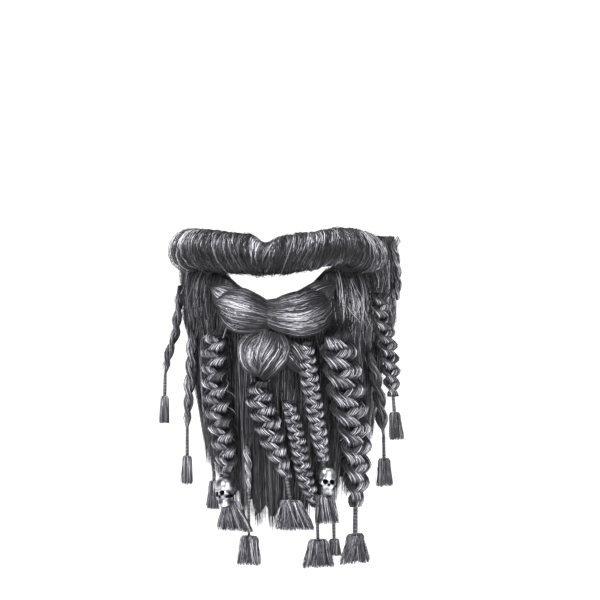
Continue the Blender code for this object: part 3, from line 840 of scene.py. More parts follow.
@dataclass
class Moustache:
    """A thick roll of hair, combed over the front from its top to its lower edge."""

    finish: Finish
    half_width: float = 67 * MM
    bottom: float = 28.6 * MM
    height: float = 32.6 * MM
    half_depth: float = 12 * MM
    sweep: float = 37 * MM
    core_inset: float = 2 * MM
    core_reach: float = 0.985
    # The roll under the strands is nearly black as painted shade deep in the hair.
    core_painted_shade: float = 0.06
    strands: int = 3100
    flyaways: int = 320
    clumps: int = 110
    steps: int = 8

    ACROSS = (
        -1.0, -0.965, -0.885, -0.79, -0.65, -0.48, -0.305, -0.153, -0.033,
        0.098, 0.24, 0.403, 0.577, 0.72, 0.83, 0.91, 0.97, 1.0,
    )
    LOW = (
        0.42, 0.27, 0.18, 0.13, 0.15, 0.07, 0.04, 0.02, 0.0,
        0.01, 0.05, 0.13, 0.23, 0.13, 0.09, 0.11, 0.20, 0.30,
    )
    HIGH = (
        0.66, 0.80, 0.92, 0.99, 0.98, 0.95, 0.89, 0.86, 0.69,
        0.83, 0.89, 0.94, 1.0, 0.98, 0.90, 0.78, 0.66, 0.56,
    )
    DEEP = (
        0.35, 0.62, 0.84, 0.97, 1.0, 1.0, 0.99, 0.96, 0.88,
        0.95, 0.99, 1.0, 1.0, 1.0, 0.95, 0.80, 0.58, 0.34,
    )
    LEAN_PLACES = (-1.0, -0.5, -0.15, 0.0, 0.25, 0.6, 1.0)
    LEANS = (0.0, -0.02, -0.035, 0.05, 0.06, 0.0, 0.0)

    @classmethod
    def foot(cls, across: Array) -> Array:
        """The height of the lower edge at this place across."""
        return cls.bottom + cls.height * read(cls.ACROSS, cls.LOW, across / cls.half_width)

    def surface(self, share: Array, turn: Array, lift: Array | float) -> Array:
        """Points on the roll.

        Args:
            share: places from the left end, -1, to the right end, 1.
            turn: turns round the roll, 0 at the front and a quarter turn at the top.
            lift: distances off the roll.

        Returns:
            The points.
        """
        share = np.clip(share, -1, 1)
        low, high, deep = (read(self.ACROSS, values, share) for values in (self.LOW, self.HIGH, self.DEEP))
        seat = WRAP.point(np.zeros(1), np.full(1, self.bottom + self.height * 0.36), np.full(1, GAP))[0, 1]
        slope = 2 * self.sweep * share / self.half_width
        away = unit(vectors(slope, -np.ones_like(share), np.zeros_like(share)))
        deep = deep * self.half_depth
        rise = self.bottom + self.height * (low + high) / 2
        middle = vectors(self.half_width * share, seat + self.sweep * share**2, rise)
        half = self.height * (high - low) / 2
        forward = (deep + (deep + lift) * np.cos(turn))[..., None]
        return middle + away * forward + np.array((0.0, 0.0, 1.0)) * ((half + lift) * np.sin(turn))[..., None]

    def shade(self, tint: Array, share: Array, turn: Array) -> Array:
        """Shades a strand along its way: a painted highlight as a pale band high on the roll, painted shade
        below it and over the top, and two marked spots.

        Args:
            tint: the strands' own tints.
            share: places along the roll.
            turn: turns round it.

        Returns:
            The tints at these places.
        """
        degrees = np.degrees(turn)
        # Painted highlight: a pale band high on the roll.
        band = swell(degrees, 36, 26)
        spot = swell(share, 0.46, 0.12) * swell(degrees, -12, 24)
        tips = swell(share, 0.50, 0.16) * swell(degrees, -66, 20)
        ends = smooth((np.abs(share) - 0.72) / 0.2)
        # Painted shade over the top of the roll and below the highlight band; the ends are paler and the spot
        # darker.
        gain = (0.58 + 0.62 * band + 0.3 * ends - 0.22 * smooth((degrees - 80) / 30)) * (1 - 0.70 * spot)
        return tint * gain + 0.14 * band + 0.40 * tips - 0.08 * spot

    def build(self) -> Piece:
        """Lays the strands over the roll.

        Returns:
            The moustache.
        """
        hair = Strands(11)
        random = hair.random
        bend = math.pi / 2 * 0.95
        rings = np.sin(np.linspace(-1, 1, 41) * bend) / math.sin(bend)
        form = self.surface(rings[:, None] * self.core_reach, circle(24)[None, :], -self.core_inset)
        # Painted shade: the dark roll under the strands.
        hair.fill(form, self.core_painted_shade)
        t = np.linspace(0, 1, self.steps)
        for count, flying in ((self.strands, False), (self.flyaways, True)):
            root = np.sort(random.uniform(-0.99, 0.99, count))[:, None]
            clump = np.floor((root + 1) / 2 * self.clumps).astype(int)
            clump_lift = random.uniform(-1.1, 0.7, self.clumps + 1)[clump] * MM
            clump_tint = random.normal(0, 0.15, self.clumps + 1)[clump]
            clump_lean = random.normal(0, 0.018, self.clumps + 1)[clump]
            start, end = np.radians(hair.even(100, 140, count)), np.radians(hair.even(-128, -84, count))
            turn = start + (end - start) * t
            bulge = (0.020 + 0.060 * np.abs(root) ** 3) * np.sign(root)
            lean = read(self.LEAN_PLACES, self.LEANS, root) + clump_lean + hair.normal(0.016, count)
            share = root * 0.96 + bulge * np.cos(turn) + lean * np.sin(turn)
            lift = clump_lift + hair.even(-0.7, 0.45, count) * MM
            lift = lift - 0.6 * MM * (1 - np.sin(np.pi * t))
            if flying:
                ends = 1 + 0.5 * smooth((np.abs(root) - 0.7) / 0.2)
                share = share + ends * hair.normal(0.04, count) * (t - 0.5)
                rise = ends * hair.even(0.5, 2.2, count) * MM
                lift = lift + rise * np.sin(np.pi * t * hair.even(0.6, 1.0, count))
            tint = self.shade(hair.shades(count, 0.28 if flying else 0.40, 0.13) + clump_tint, share, turn)
            radius = HAIR_RADIUS * (0.55 if flying else 1.0) * hair.even(0.75, 1.15, count)
            hair.lay(self.surface(share, turn, lift), radius * tapered(self.steps), tint)
        return hair.piece("moustache_hair", "moustache", Slot.LIGHT_HAIR, self.finish)


@dataclass(frozen=True)
class Path:
    """A middle line by rows of across, down, width and lift, as shares of the beard's sizes."""

    rows: tuple[tuple[float, ...], ...]

    def at(self, t: Array) -> list[Array]:
        """Reads each column along the line.

        Args:
            t: shares of its length, by its down or across, whichever changes more.

        Returns:
            One array for each column.
        """
        first, last = self.rows[0], self.rows[-1]
        key = 1 if abs(last[1] - first[1]) > abs(last[0] - first[0]) else 0
        columns = list(zip(*self.rows))
        at = first[key] + (last[key] - first[key]) * np.asarray(t, float)
        return [at if k == key else read(columns[key], column, at) for k, column in enumerate(columns)]


def tress_points(across: Array, down: Array, half_depth: Array, reach: Array) -> tuple[Array, Array, Array]:
    """The middle line of what lies on the hair, with the directions along and away from the wrap.

    Args:
        across: places across, as shares of HALF_SPAN.
        down: places down, as shares of DROP.
        half_depth: half the depth of what lies there.
        reach: how far it spreads up and down.

    Returns:
        The points, the level directions along the wrap, and those away from it.
    """
    z = -DROP * down
    angle = WRAP.angle_at(HALF_SPAN * across, z, FORM.fall_thick + half_depth)
    out = np.max([FORM.depth(angle, z + step) for step in (-reach, 0 * reach, reach)], axis=0)
    out = out + 2 * GAP + half_depth
    side, away = WRAP.facing(angle, z, out)
    return WRAP.point(WRAP.angle_at(HALF_SPAN * across, z, out), z, out), side, away


def between(t: Array, parts: tuple[Array, ...], at: Array) -> list[Array]:
    """Reads numbers and vectors that are known at shares t at other shares.

    Args:
        t: where they are known.
        parts: the numbers, or vectors as rows.
        at: where to read.

    Returns:
        The parts there.
    """
    found = []
    for part in parts:
        rows = [np.interp(at, t, row) for row in np.atleast_2d(part.T)]
        found.append(vectors(*rows) if part.ndim == 2 else rows[0])
    return found


def columns(parts: tuple[Array, ...] | list[Array]) -> list[Array]:
    """Numbers and vectors along a line, each ready to spread over a ring."""
    return [part[:, None] for part in parts]


@dataclass
class CombedLock:
    """One combed lock: an oval bundle whose strands run along it."""

    path: Path
    half_depth: float
    strands: int
    shade: float = 0.48
    # glint: where along the lock its painted highlight is brightest.
    glint: float = 0.45
    core: float = 0.84
    # The lock's inner form is nearly black as painted shade.
    core_painted_shade: float = 0.07
    steps: int = 8
    clumps: int = 64

    def line(self, t: Array) -> tuple[Array, ...]:
        """The lock's middle line, its width and depth directions and its half sizes.

        Args:
            t: shares of its length.

        Returns:
            The points, both directions, and half its width and depth.
        """
        across, down, half = self.path.at(t)
        deep = self.half_depth * (0.55 + 0.45 * np.sin(math.pi * t))
        point, _, away = tress_points(across, down, deep, PLAIT_WIDTH * half)
        level = unit(np.cross(unit(np.gradient(point, axis=0)), away))
        return point, level, away, PLAIT_WIDTH * half, deep

    def lay(self, hair: Strands) -> None:
        """Adds the lock's dark form, painted shade deep in the lock, and its strands.

        Args:
            hair: where they are gathered.
        """
        t = np.linspace(0, 1, 25)
        line = self.line(t)
        hair.fill(self.place(columns(line), circle(14), self.core), self.core_painted_shade)
        n = self.strands
        start = hair.even(0.0, 0.25, n) * (hair.share(n) < 0.5)
        end = 1 - hair.even(0.0, 0.25, n) * (hair.share(n) < 0.5)
        s = start + (end - start) * np.linspace(0, 1, self.steps)
        turn = hair.even(-math.pi, math.pi, n)
        turn = turn + hair.normal(0.26, n) * (s - 0.5)
        clump = np.floor((turn[:, :1] + 7) * 3.2).astype(int) % self.clumps
        lift = hair.random.uniform(0.90, 1.08, self.clumps)[clump] + hair.normal(0.03, n)
        points = self.place(between(t, line, s), turn, lift)
        tint = hair.shades(n, self.shade, 0.15) + hair.random.normal(0, 0.10, self.clumps)[clump]
        # Painted highlight on the lock's front, brightest round glint along its length; painted shade on its
        # back and sides.
        crown_highlight = np.clip(np.sin(turn), 0, 1) ** 0.8 * (0.45 + 0.55 * np.sin(math.pi * s))
        crown_highlight = crown_highlight * (0.50 + 0.62 * swell(s, self.glint, 0.26))
        hair.lay(points, HAIR_RADIUS * tapered(self.steps), tint * (0.32 + 0.78 * crown_highlight) + 0.12 * crown_highlight)

    @staticmethod
    def place(line: list[Array], turn: Array, share: Array | float) -> Array:
        """Points round the lock at these turns, this share of its size from its middle.

        Args:
            line: what line gives, at the same places.
            turn: turns round the lock.
            share: 1 at its surface.

        Returns:
            The points.
        """
        point, level, away, half, deep = line
        across, out = np.cos(turn) * half * share, np.sin(turn) * deep * share
        return point + level * across[..., None] + away * out[..., None]


@dataclass
class BeardSheet:
    """The straight hair on the cheeks and the hair that hangs below the jaw, in pointed locks."""

    cheek_finish: Finish
    fall_finish: Finish
    cheek_strands: int = 1650
    cheek_flyaways: int = 260
    fall_strands: int = 2700
    fall_flyaways: int = 260
    steps: int = 7
    core_back: float = 0.5 * MM
    # The slab under the strands is nearly black as painted shade.
    core_painted_shade: float = 0.04
    cheek_share: float = 0.62
    fall_share: float = 0.55
    tuft_depth: float = 2.6 * MM

    TUFTS = (
        Path(((-0.54, -0.12, 0.04), (-0.46, -0.095, 0.28), (-0.36, -0.078, 0.30), (-0.26, -0.045, 0.18))),
        Path(((0.20, -0.035, 0.20), (0.32, -0.062, 0.36), (0.43, -0.098, 0.34), (0.53, -0.135, 0.06))),
    )

    def core(self, hair: Strands, upper: Array, lower: Array, angles: Array, share: float) -> None:
        """Adds the dark form under the strands, painted shade deep in the hair.

        Args:
            hair: where it is gathered.
            upper: the form's upper edge at each angle.
            lower: its lower edge.
            angles: the angles of its columns.
            share: how much of the hair's thickness it fills.
        """
        z = upper[None, :] + (lower - upper)[None, :] * np.linspace(0, 1, 14)[:, None]
        turns = np.broadcast_to(angles, z.shape)
        front = WRAP.point(turns, z, GAP + FORM.furrowed(turns, z) * share)
        hair.slab(front, WRAP.point(turns, z, GAP + self.core_back), self.core_painted_shade)

    def cheek(self) -> Piece:
        """Lays the hair on the cheeks and chin.

        Returns:
            The piece.
        """
        hair = Strands(23)
        angles = np.linspace(-HAIR_REACH, HAIR_REACH, 69)
        self.core(hair, FORM.top(angles) - 1 * MM, FORM.split(angles) + 1 * MM, angles, self.cheek_share)
        t = np.linspace(0, 1, self.steps)
        for count, flying in ((self.cheek_strands, False), (self.cheek_flyaways, True)):
            root = hair.even(-0.99, 0.99, count)
            root = np.sign(root) * np.abs(root) ** (0.6 if flying else 0.85) * HAIR_REACH
            frizzy = np.where(root > 0.25, 0.055, 0.022)
            fan = 0.10 * root + hair.normal(1, count) * (0.11 if flying else frizzy)
            angle = np.clip(root + fan * t**1.3, -HAIR_REACH, HAIR_REACH)
            top, low = FORM.top(root), FORM.split(root)
            spread = np.where(np.abs(root) > FORM.sideburn_start, 3.5, 2.0)
            first = top - hair.share(count) ** spread * (top - low) * 0.55
            z = first + (low - 20 * MM * hair.share(count) ** 2 - first) * t
            z = np.minimum(z, FORM.top(angle))
            deep = FORM.furrowed(angle, z)
            rise = 0.55 + 0.45 * hair.share(count) ** 0.5
            out = GAP + deep * rise * (0.55 + 0.45 * smooth(t * 3))
            if flying:
                out = out + hair.even(0.4, 3.0, count) * MM * np.sin(math.pi * t * 0.85)
            tint = hair.shades(count, 0.62 if flying else 0.36, 0.09)
            right = smooth((root - 0.15) / 0.5) * smooth(t / 0.6)
            radius = HAIR_RADIUS * (0.6 if flying else 1.0) * tapered(self.steps)
            hair.lay(WRAP.point(angle, z, out), radius, tint * (0.78 + 0.30 * right) + 0.10 * right)
        for tuft in self.TUFTS:
            CombedLock(tuft, self.tuft_depth, strands=230, shade=0.52).lay(hair)
        return hair.piece("cheek_strands", "cheek_hair", Slot.DARK_HAIR, self.cheek_finish)

    def fall(self) -> Piece:
        """Lays the hair that hangs below the jaw.

        Returns:
            The piece.
        """
        hair = Strands(37)
        angles = np.linspace(-HAIR_REACH, HAIR_REACH, 137)
        self.core(hair, FORM.split(angles) - GAP, FORM.end(angles) + 8 * MM, angles, self.fall_share)
        pitch = 2 * HAIR_REACH / HAIR_LOCKS
        t = np.linspace(0, 1, self.steps)
        for count, flying in ((self.fall_strands, False), (self.fall_flyaways, True)):
            root = hair.even(-0.995, 0.995, count) * HAIR_REACH
            draw = (np.round(root / pitch) * pitch - root) * hair.even(-0.2, 0.75, count)
            stray = hair.normal(0.09 if flying else 0.030, count)
            bend = hair.even(0.5, 1.4, count)
            angle = root + draw * t**2 + stray * np.sin(math.pi * t * bend)
            angle = np.clip(angle, -HAIR_REACH, HAIR_REACH)
            first = FORM.split(root) + 2 * MM
            last = FORM.end(root + draw) + hair.share(count) ** 2 * 26 * MM - 4 * MM * hair.share(count)
            z = first + (np.minimum(last, first - 8 * MM) - first) * t
            inner = hair.share(count) < 0.25
            rise = np.where(inner, 0.10 * hair.share(count), 0.60 + 0.40 * hair.share(count) ** 0.6)
            out = GAP + FORM.furrowed(angle, np.minimum(z, FORM.split(angle)), 0.8) * rise
            if flying:
                out = out + hair.even(0.2, 2.0, count) * MM * np.sin(math.pi * t * 0.8)
            tint = hair.shades(count, 0.60 if flying else 0.42, 0.10)
            edge = smooth((np.abs(root) / HAIR_REACH - 0.5) / 0.3)
            edge = edge + 0.7 * smooth((root / HAIR_REACH - 0.42) / 0.15)
            tint = tint * (0.85 + 0.25 * edge) + 0.08 * edge + 0.06 * np.sin(7 * t + root * 40)
            radius = HAIR_RADIUS * (0.6 if flying else 1.0) * hair.even(0.7, 1.1, count)
            hair.lay(WRAP.point(angle, z, out), radius * tapered(self.steps, end=0.3), tint)
        return hair.piece("fall_strands", "beard_fall", Slot.DARK_HAIR, self.fall_finish)


@dataclass
class ChinLocks:
    """The two combed locks that cross under the mouth hole, and the knot below them with its side lobe."""

    finish: Finish
    lock_depth: float = 5.5 * MM
    knot_depth: float = 6.5 * MM
    side_depth: float = 4.0 * MM

    LEFT = Path((
        (-0.475, -0.058, 0.14), (-0.40, -0.05, 0.36), (-0.26, -0.028, 0.53), (-0.12, -0.012, 0.46),
        (0.03, 0.006, 0.30),
    ))
    RIGHT = Path((
        (-0.05, -0.030, 0.26), (0.10, -0.014, 0.44), (0.255, -0.014, 0.56), (0.375, -0.032, 0.58),
        (0.48, -0.062, 0.34),
    ))
    KNOT = (
        Path(((0.02, 0.050, 0.30), (0.0, 0.09, 0.34), (-0.05, 0.14, 0.26), (-0.09, 0.21, 0.12))),
        Path(((-0.045, 0.062, 0.20), (-0.145, 0.11, 0.34), (-0.155, 0.16, 0.30), (-0.095, 0.225, 0.14))),
        Path(((0.062, 0.068, 0.26), (0.072, 0.118, 0.37), (0.005, 0.172, 0.34), (-0.084, 0.236, 0.16))),
    )
    SIDE = Path(((0.115, 0.100, 0.18), (0.185, 0.138, 0.30), (0.240, 0.175, 0.26), (0.285, 0.215, 0.10)))

    def build(self) -> None:
        """Lays both locks and the knot."""
        knot = [CombedLock(path, self.knot_depth, strands=340, glint=0.48) for path in self.KNOT]
        knot.append(CombedLock(self.SIDE, self.side_depth, strands=190, shade=0.34))
        for seed, node, locks in (
            (41, "chin_lock_left", [CombedLock(self.LEFT, self.lock_depth, strands=640, glint=0.34)]),
            (43, "chin_lock_right", [CombedLock(self.RIGHT, self.lock_depth, strands=640, glint=0.55)]),
            (47, "chin_knot", knot),
        ):
            hair = Strands(seed)
            for lock in locks:
                lock.lay(hair)
            hair.piece(f"{node}_strands", node, Slot.LIGHT_HAIR, self.finish)


@dataclass(frozen=True)
class Winding:
    """How a tress's strands wind round each other.

    The pitch is in widths a turn, depth and ends are shares of the tress's half width, steps are
    points a turn, and the floor is the painted shade on the hair that lies deepest, as a share of full tint.
    """

    strands: int
    pitch: float
    depth: float
    ends: float
    steps: int
    shade: float
    floor: float


class TressKind(Enum):
    """How a hanging tress is made."""

    PLAIT = Winding(3, 1.36, 0.60, 1.0, 12, 0.47, 0.50)
    ROPE = Winding(2, 2.9, 0.84, 0.4, 8, 0.52, 0.85)


@dataclass
class Tress:
    """A plait of three strands or a rope of two, each strand a bundle of hair that winds with the others."""

    name: str
    kind: TressKind
    path: Path
    seed: int
    finish: Finish
    radius: float = 0.20 * MM
    core: float = 0.86
    # Each strand's inner tube is nearly black as painted shade.
    core_painted_shade: float = 0.06
    thin_steps: int = 9
    feed_start: float = 0.035
    feed_top: float = -0.335
    sink: float = 0.8 * MM

    def widest(self) -> float:
        """The tress's widest width."""
        return PLAIT_WIDTH * max(row[2] for row in self.path.rows)

    def turns(self) -> float:
        """How many full turns its strands make.

        Returns:
            The number, in whole cuts of a turn.
        """
        winding = self.kind.value
        thin = self.kind is TressKind.PLAIT and self.widest() <= PLAIT_WIDTH / 2
        cuts = self.thin_steps if thin else winding.steps
        length = DROP * (self.path.rows[-1][1] - self.path.rows[0][1])
        return round(length / (self.widest() * winding.pitch) * cuts) / cuts

    def line(self, t: Array) -> tuple[Array, ...]:
        """The middle line at shares t of its length, with its directions and half width.

        Args:
            t: shares of its length.

        Returns:
            The points, the directions along and away from the wrap, and half the width.
        """
        across, down, wide, lift = self.path.at(t)
        half = PLAIT_WIDTH * wide / 2
        deep = half * self.kind.value.depth
        return (*tress_points(across, down, deep + HALF_SPAN * lift, half / 2), half)

    def strand(self, number: int, t: Array) -> tuple[Array, ...]:
        """One strand's middle and half sizes, as shares of the tress's half width.

        Args:
            number: which strand.
            t: shares of the tress's length.

        Returns:
            Places across and out, and half sizes across and out.
        """
        u = 2 * math.pi * (self.turns() * t + number / self.kind.value.strands)
        if self.kind is TressKind.PLAIT:
            swing = 0.5 * np.sin(u) + 0.5 * np.arcsin(0.97 * np.sin(u)) / math.asin(0.97)
            beat = np.cos(2 * u)
            return 0.54 * swing, -0.30 * np.sin(2 * u), 0.52 + 0.07 * beat, 0.25 + 0.04 * beat
        return 0.44 * np.sin(u), 0.42 * np.cos(u), 0.54 + 0 * t, 0.50 + 0 * t

    @staticmethod
    def place(line: list[Array], strand: list[Array], turn: Array, reach: Array | float) -> Array:
        """Points round a strand of the tress at these turns, this share of its size from its middle.

        Args:
            line: what line gives, at the same places.
            strand: what strand gives there.
            turn: turns round the strand.
            reach: 1 at its surface.

        Returns:
            The points.
        """
        point, side, away, half = line
        x, y, wide, deep = strand
        across = (x + wide * reach * np.cos(turn)) * half
        out = (y + deep * reach * np.sin(turn)) * half
        return point + side * across[..., None] + away * out[..., None]

    def build(self) -> Piece:
        """Winds the strands.

        Returns:
            The tress.
        """
        hair = Strands(self.seed)
        winding, turns = self.kind.value, self.turns()
        steps = max(10, round(turns * winding.steps)) + 1
        t = np.linspace(0, 1, steps)
        *line, half = self.line(t)
        ends = winding.ends + (1 - winding.ends) * smooth(np.minimum(t, 1 - t) * turns * 3)
        line.append(half * ends)
        count = int(14 + 68 * self.widest() / PLAIT_WIDTH)
        for k in range(winding.strands):
            strand = self.strand(k, t)
            # Painted shade: the dark tube inside each strand.
            hair.fill(self.place(columns(line), columns(strand), circle(10), self.core), self.core_painted_shade)
            back = hair.share(count) < 0.15
            behind = hair.even(math.pi + 0.3, 2 * math.pi - 0.3, count)
            turn = np.where(back, behind, hair.even(-0.3, math.pi + 0.3, count))
            angle = turn + hair.normal(0.22, count) * np.sin(2 * math.pi * t * turns + turn)
            reach = hair.even(0.88, 1.08, count) + hair.normal(0.03, count) * np.sin(9 * t + turn)
            lines = self.place(line, strand, angle, reach)
            x, y = strand[:2]
            # Painted highlight where a strand crosses in front, stronger towards each lobe's outer edge;
            # painted shade, down to the winding's floor, where it dives.
            crown_highlight = np.clip(y / np.max(np.abs(y)), 0, 1) ** 0.6
            outer = 0.72 + 0.34 * np.clip(np.abs(x) / np.max(np.abs(x)), 0, 1)
            tint = hair.shades(count, winding.shade, 0.13)
            tint = tint * (winding.floor + (1.08 - winding.floor) * crown_highlight * outer) + 0.16 * crown_highlight * outer
            # Painted light on hairs that face out, and painted shade at the tress's top, where it comes out
            # of the hair.
            tint = (tint + 0.06 * np.sin(angle) - 0.02) * (0.30 + 0.70 * smooth(t * turns * 4))
            hair.lay(lines, self.radius * tapered(steps, 0.8, 0.8), tint)
            self.frizz(hair, k, count // 3)
        self.feed(hair)
        return hair.piece(f"{self.name}_strands", self.name, Slot.LIGHT_HAIR, self.finish)

    def feed(self, hair: Strands, steps: int = 7) -> None:
        """Adds the hair that runs down into the tress's top from the hair behind it.

        Args:
            hair: where it is gathered.
            steps: how many points a strand has.
        """
        across, down, wide, _ = self.path.rows[0]
        count = int(18 + 70 * wide)
        s = np.linspace(0, 1, steps)
        half = PLAIT_WIDTH * wide / 2
        rise = hair.even(0.03, 0.10, count) * min(1.0, 0.30 + wide)
        downs = np.maximum(down + self.feed_start - (rise + self.feed_start) * s, self.feed_top)
        spread = hair.even(-1, 1, count) * (0.80 + 0.75 * s)
        lift = (half * hair.even(0.9, 1.15, count) + self.sink) * (1 - s) ** 2 - self.sink
        reach = np.full(lift.shape, half / 2)
        lines, _, _ = tress_points(across + spread * half / HALF_SPAN, downs, lift, reach)
        hair.lay(lines, self.radius * tapered(steps), hair.shades(count, 0.42, 0.07) * (1.0 - 0.45 * s))

    def frizz(self, hair: Strands, number: int, count: int, steps: int = 6) -> None:
        """Adds short loose hairs that stand off a strand.

        Args:
            hair: where they are gathered.
            number: which strand.
            count: how many.
            steps: how many points a hair has.
        """
        t, along = np.linspace(0, 1, 41), np.linspace(0, 1, steps)
        first = hair.even(0, 0.85, count)
        s = np.clip(first + hair.even(0.04, 0.14, count) * along, 0, 1)
        turn = hair.even(0, 2 * math.pi, count)
        reach = 0.95 + hair.even(0.1, 0.7, count) * along**1.5
        lines = self.place(between(t, self.line(t), s), self.strand(number, s), turn, reach)
        hair.lay(lines, self.radius * 0.6 * tapered(steps), hair.shades(count, 0.6, 0.3))


PLAITS: dict[str, Path] = {
    "plait_left_main": Path((
        (-0.475, 0.046, 0.50, -0.006), (-0.490, 0.120, 0.84, -0.006), (-0.500, 0.230, 0.85, -0.006),
        (-0.465, 0.360, 0.85, 0.0), (-0.400, 0.540, 0.70, 0.02), (-0.395, 0.625, 0.36, 0.06),
    )),
    "plait_chin": Path((
        (-0.089, 0.252, 0.44, 0.0), (-0.078, 0.320, 0.76, 0.0), (-0.010, 0.430, 0.72, 0.0),
        (0.075, 0.560, 0.52, 0.0), (0.130, 0.632, 0.28, 0.0),
    )),
    "plait_centre_thin": Path((
        (0.150, 0.325, 0.30, 0.0), (0.208, 0.440, 0.42, 0.0), (0.285, 0.640, 0.45, 0.0),
        (0.368, 0.755, 0.28, 0.0),
    )),
    "plait_right_inner": Path((
        (0.290, 0.094, 0.42, 0.0), (0.310, 0.180, 0.50, 0.0), (0.355, 0.330, 0.48, 0.0),
        (0.405, 0.480, 0.44, 0.01), (0.430, 0.570, 0.28, 0.02),
    )),
    "plait_right_main": Path((
        (0.545, 0.052, 0.60, 0.0), (0.565, 0.120, 1.00, 0.0), (0.605, 0.220, 1.08, 0.0),
        (0.640, 0.350, 1.06, 0.0), (0.680, 0.500, 0.94, 0.0), (0.680, 0.650, 0.76, 0.0),
        (0.655, 0.765, 0.36, 0.0),
    )),
    "plait_right_outer": Path((
        (0.850, -0.100, 0.46, 0.0), (0.880, -0.020, 0.70, 0.0), (0.915, 0.110, 0.72, 0.020),
        (0.957, 0.227, 0.62, 0.105), (0.985, 0.318, 0.36, 0.195),
    )),
}
ROPES: dict[str, Path] = {
    "rope_left_outer": Path((
        (-0.935, -0.130, 0.26, 0.0), (-0.985, 0.030, 0.30, 0.02), (-1.035, 0.130, 0.30, 0.12),
        (-1.080, 0.235, 0.24, 0.205),
    )),
    "rope_left_inner": Path((
        (-0.760, 0.050, 0.30, 0.0), (-0.815, 0.250, 0.34, 0.0), (-0.870, 0.455, 0.24, 0.08),
    )),
    "rope_right_temple": Path((
        (0.945, -0.310, 0.18, 0.0), (0.985, -0.200, 0.24, 0.01), (0.990, -0.070, 0.20, 0.04),
    )),
    "rope_right_low": Path((
        (0.780, 0.140, 0.28, 0.0), (0.830, 0.270, 0.38, 0.0), (0.865, 0.390, 0.36, 0.05),
        (0.875, 0.480, 0.18, 0.09),
    )),
    "rope_by_bead": Path((
        (-0.220, 0.500, 0.22, 0.0), (-0.203, 0.600, 0.20, 0.0), (-0.206, 0.695, 0.16, 0.0),
    )),
}


@dataclass
class Tassel:
    """A neck bound with thread and a skirt of hair cut off level.

    It hangs on the tress of this name, or on this lock of the hanging hair, and its lengths are
    shares of DROP.
    """

    name: str
    on: str | int
    across: float
    neck: float
    skirt: float
    wide: float
    thread: float
    seed: int
    finish: Finish
    thread_radius: float = 1.3 * MM
    coil_radius: float = 0.42 * MM
    coil_pitch: float = 0.75 * MM
    overlap: float = 1.5 * MM
    skirt_width: float = 28 * MM
    skirt_depth: float = 8.5 * MM
    skirt_top: float = 13 * MM
    neck_tint: float = 0.2
    # The skirt's inner form is painted shade, a mid grey between the hairs.
    core_painted_shade: float = 0.24
    radius: float = 0.155 * MM

    def line(self) -> tuple[Array, ...]:
        """Where the neck starts, where the skirt starts and ends, and the directions across and away.

        Returns:
            Three points and two directions.
        """
        if isinstance(self.on, str):
            kind = TressKind.PLAIT if self.on in PLAITS else TressKind.ROPE
            tress = Tress(self.on, kind, (PLAITS | ROPES)[self.on], 0, self.finish)
            top, side, away, _ = (part[0] for part in tress.line(np.array([1.0])))
        else:
            angle = np.array([HAIR_REACH * 2 * self.on / HAIR_LOCKS])
            out = np.array([GAP + FORM.fall_tip / 2])
            tip = WRAP.point(angle, FORM.end(angle), out)
            top, side, away = (part[0] for part in (tip, *WRAP.facing(angle, tip[..., 2], out)))
        top = top - np.array((0, 0, GAP))
        neck, skirt = DROP * self.neck, DROP * self.skirt
        step = np.array(((HALF_SPAN * self.across - top[0]) / (neck + skirt), 0, -1))
        waist = top + step * neck
        return top, waist, waist + step * skirt, side, away

    def build(self) -> Piece:
        """Binds the neck and hangs the skirt.

        Returns:
            The tassel.
        """
        hair = Strands(self.seed)
        top, waist, foot, side, away = self.line()
        thread = self.thread_radius * self.thread
        turns = circle(8)

        def ring(middle: Array, wide: float, deep: float) -> Array:
            """Points round the tassel here."""
            return middle + side * (wide * np.cos(turns))[:, None] + away * (deep * np.sin(turns))[:, None]

        start = top + np.array((0, 0, self.overlap))
        ends = ((start, thread * 0.7), (waist, thread * 0.8))
        hair.fill(np.stack([ring(middle, radius, radius) for middle, radius in ends]), self.neck_tint)
        winds = max(6, round(np.linalg.norm(waist - top) / self.coil_pitch))
        t = np.linspace(0, 1, winds * 6)
        spin = 2 * math.pi * winds * t
        round_neck = (side * np.cos(spin)[:, None] + away * np.sin(spin)[:, None]) * thread * 0.82
        coil = top + (waist - top) * t[:, None] + round_neck
        hair.lay(coil[None], self.coil_radius, 0.5 + 0.12 * np.sin(spin[None] * 0.31))

        wide, deep = self.skirt_width * self.wide / 2, self.skirt_depth / 2 * (0.6 + 0.4 * self.wide)
        start = min(self.skirt_top / 2 / wide, 0.8)
        shares = np.array((0.03, 0.12, 0.55, 0.9))
        spread = start + (1 - start) * shares
        core = [ring(waist + (foot - waist) * s, wide * w * 0.8, deep * 0.75) for s, w in zip(shares, spread)]
        # Painted shade: the grey form inside the skirt.
        hair.fill(np.stack(core), self.core_painted_shade)
        n = int(130 + 300 * self.wide)
        angle, reach, lag = hair.even(0, 2 * math.pi, n), hair.even(0.72, 1.04, n), hair.even(-0.10, 0.03, n)
        shares = np.array((0.0, 0.02, 0.12, 0.4, 0.7, 1.0))
        inset = np.array((0.12, 0.75, 1.0, 1.0, 1.0, 1.0))
        sway = hair.normal(0.12, n)
        cross = hair.normal(0.20, n) * (shares - 0.3) * (shares > 0.01)
        share = (start + (1 - start) * shares) * inset * reach
        x = wide * np.clip(share * np.cos(angle) + sway * shares**2 + cross, -1.06, 1.06)
        y = deep * (0.8 + 0.2 * shares) * inset * reach * np.sin(angle)
        middle = waist + (foot - waist) * (shares * (1 + lag))[..., None]
        tint = hair.shades(n, 0.58, 0.12) * (1.05 - 0.25 * shares) + 0.04
        lines = middle + side * x[..., None] + away * y[..., None]
        hair.lay(lines, self.radius * np.array((0.8, 1, 1, 1, 1, 0.8)), tint)
        return hair.piece(f"{self.name}_strands", self.name, Slot.TASSEL_HAIR, self.finish)


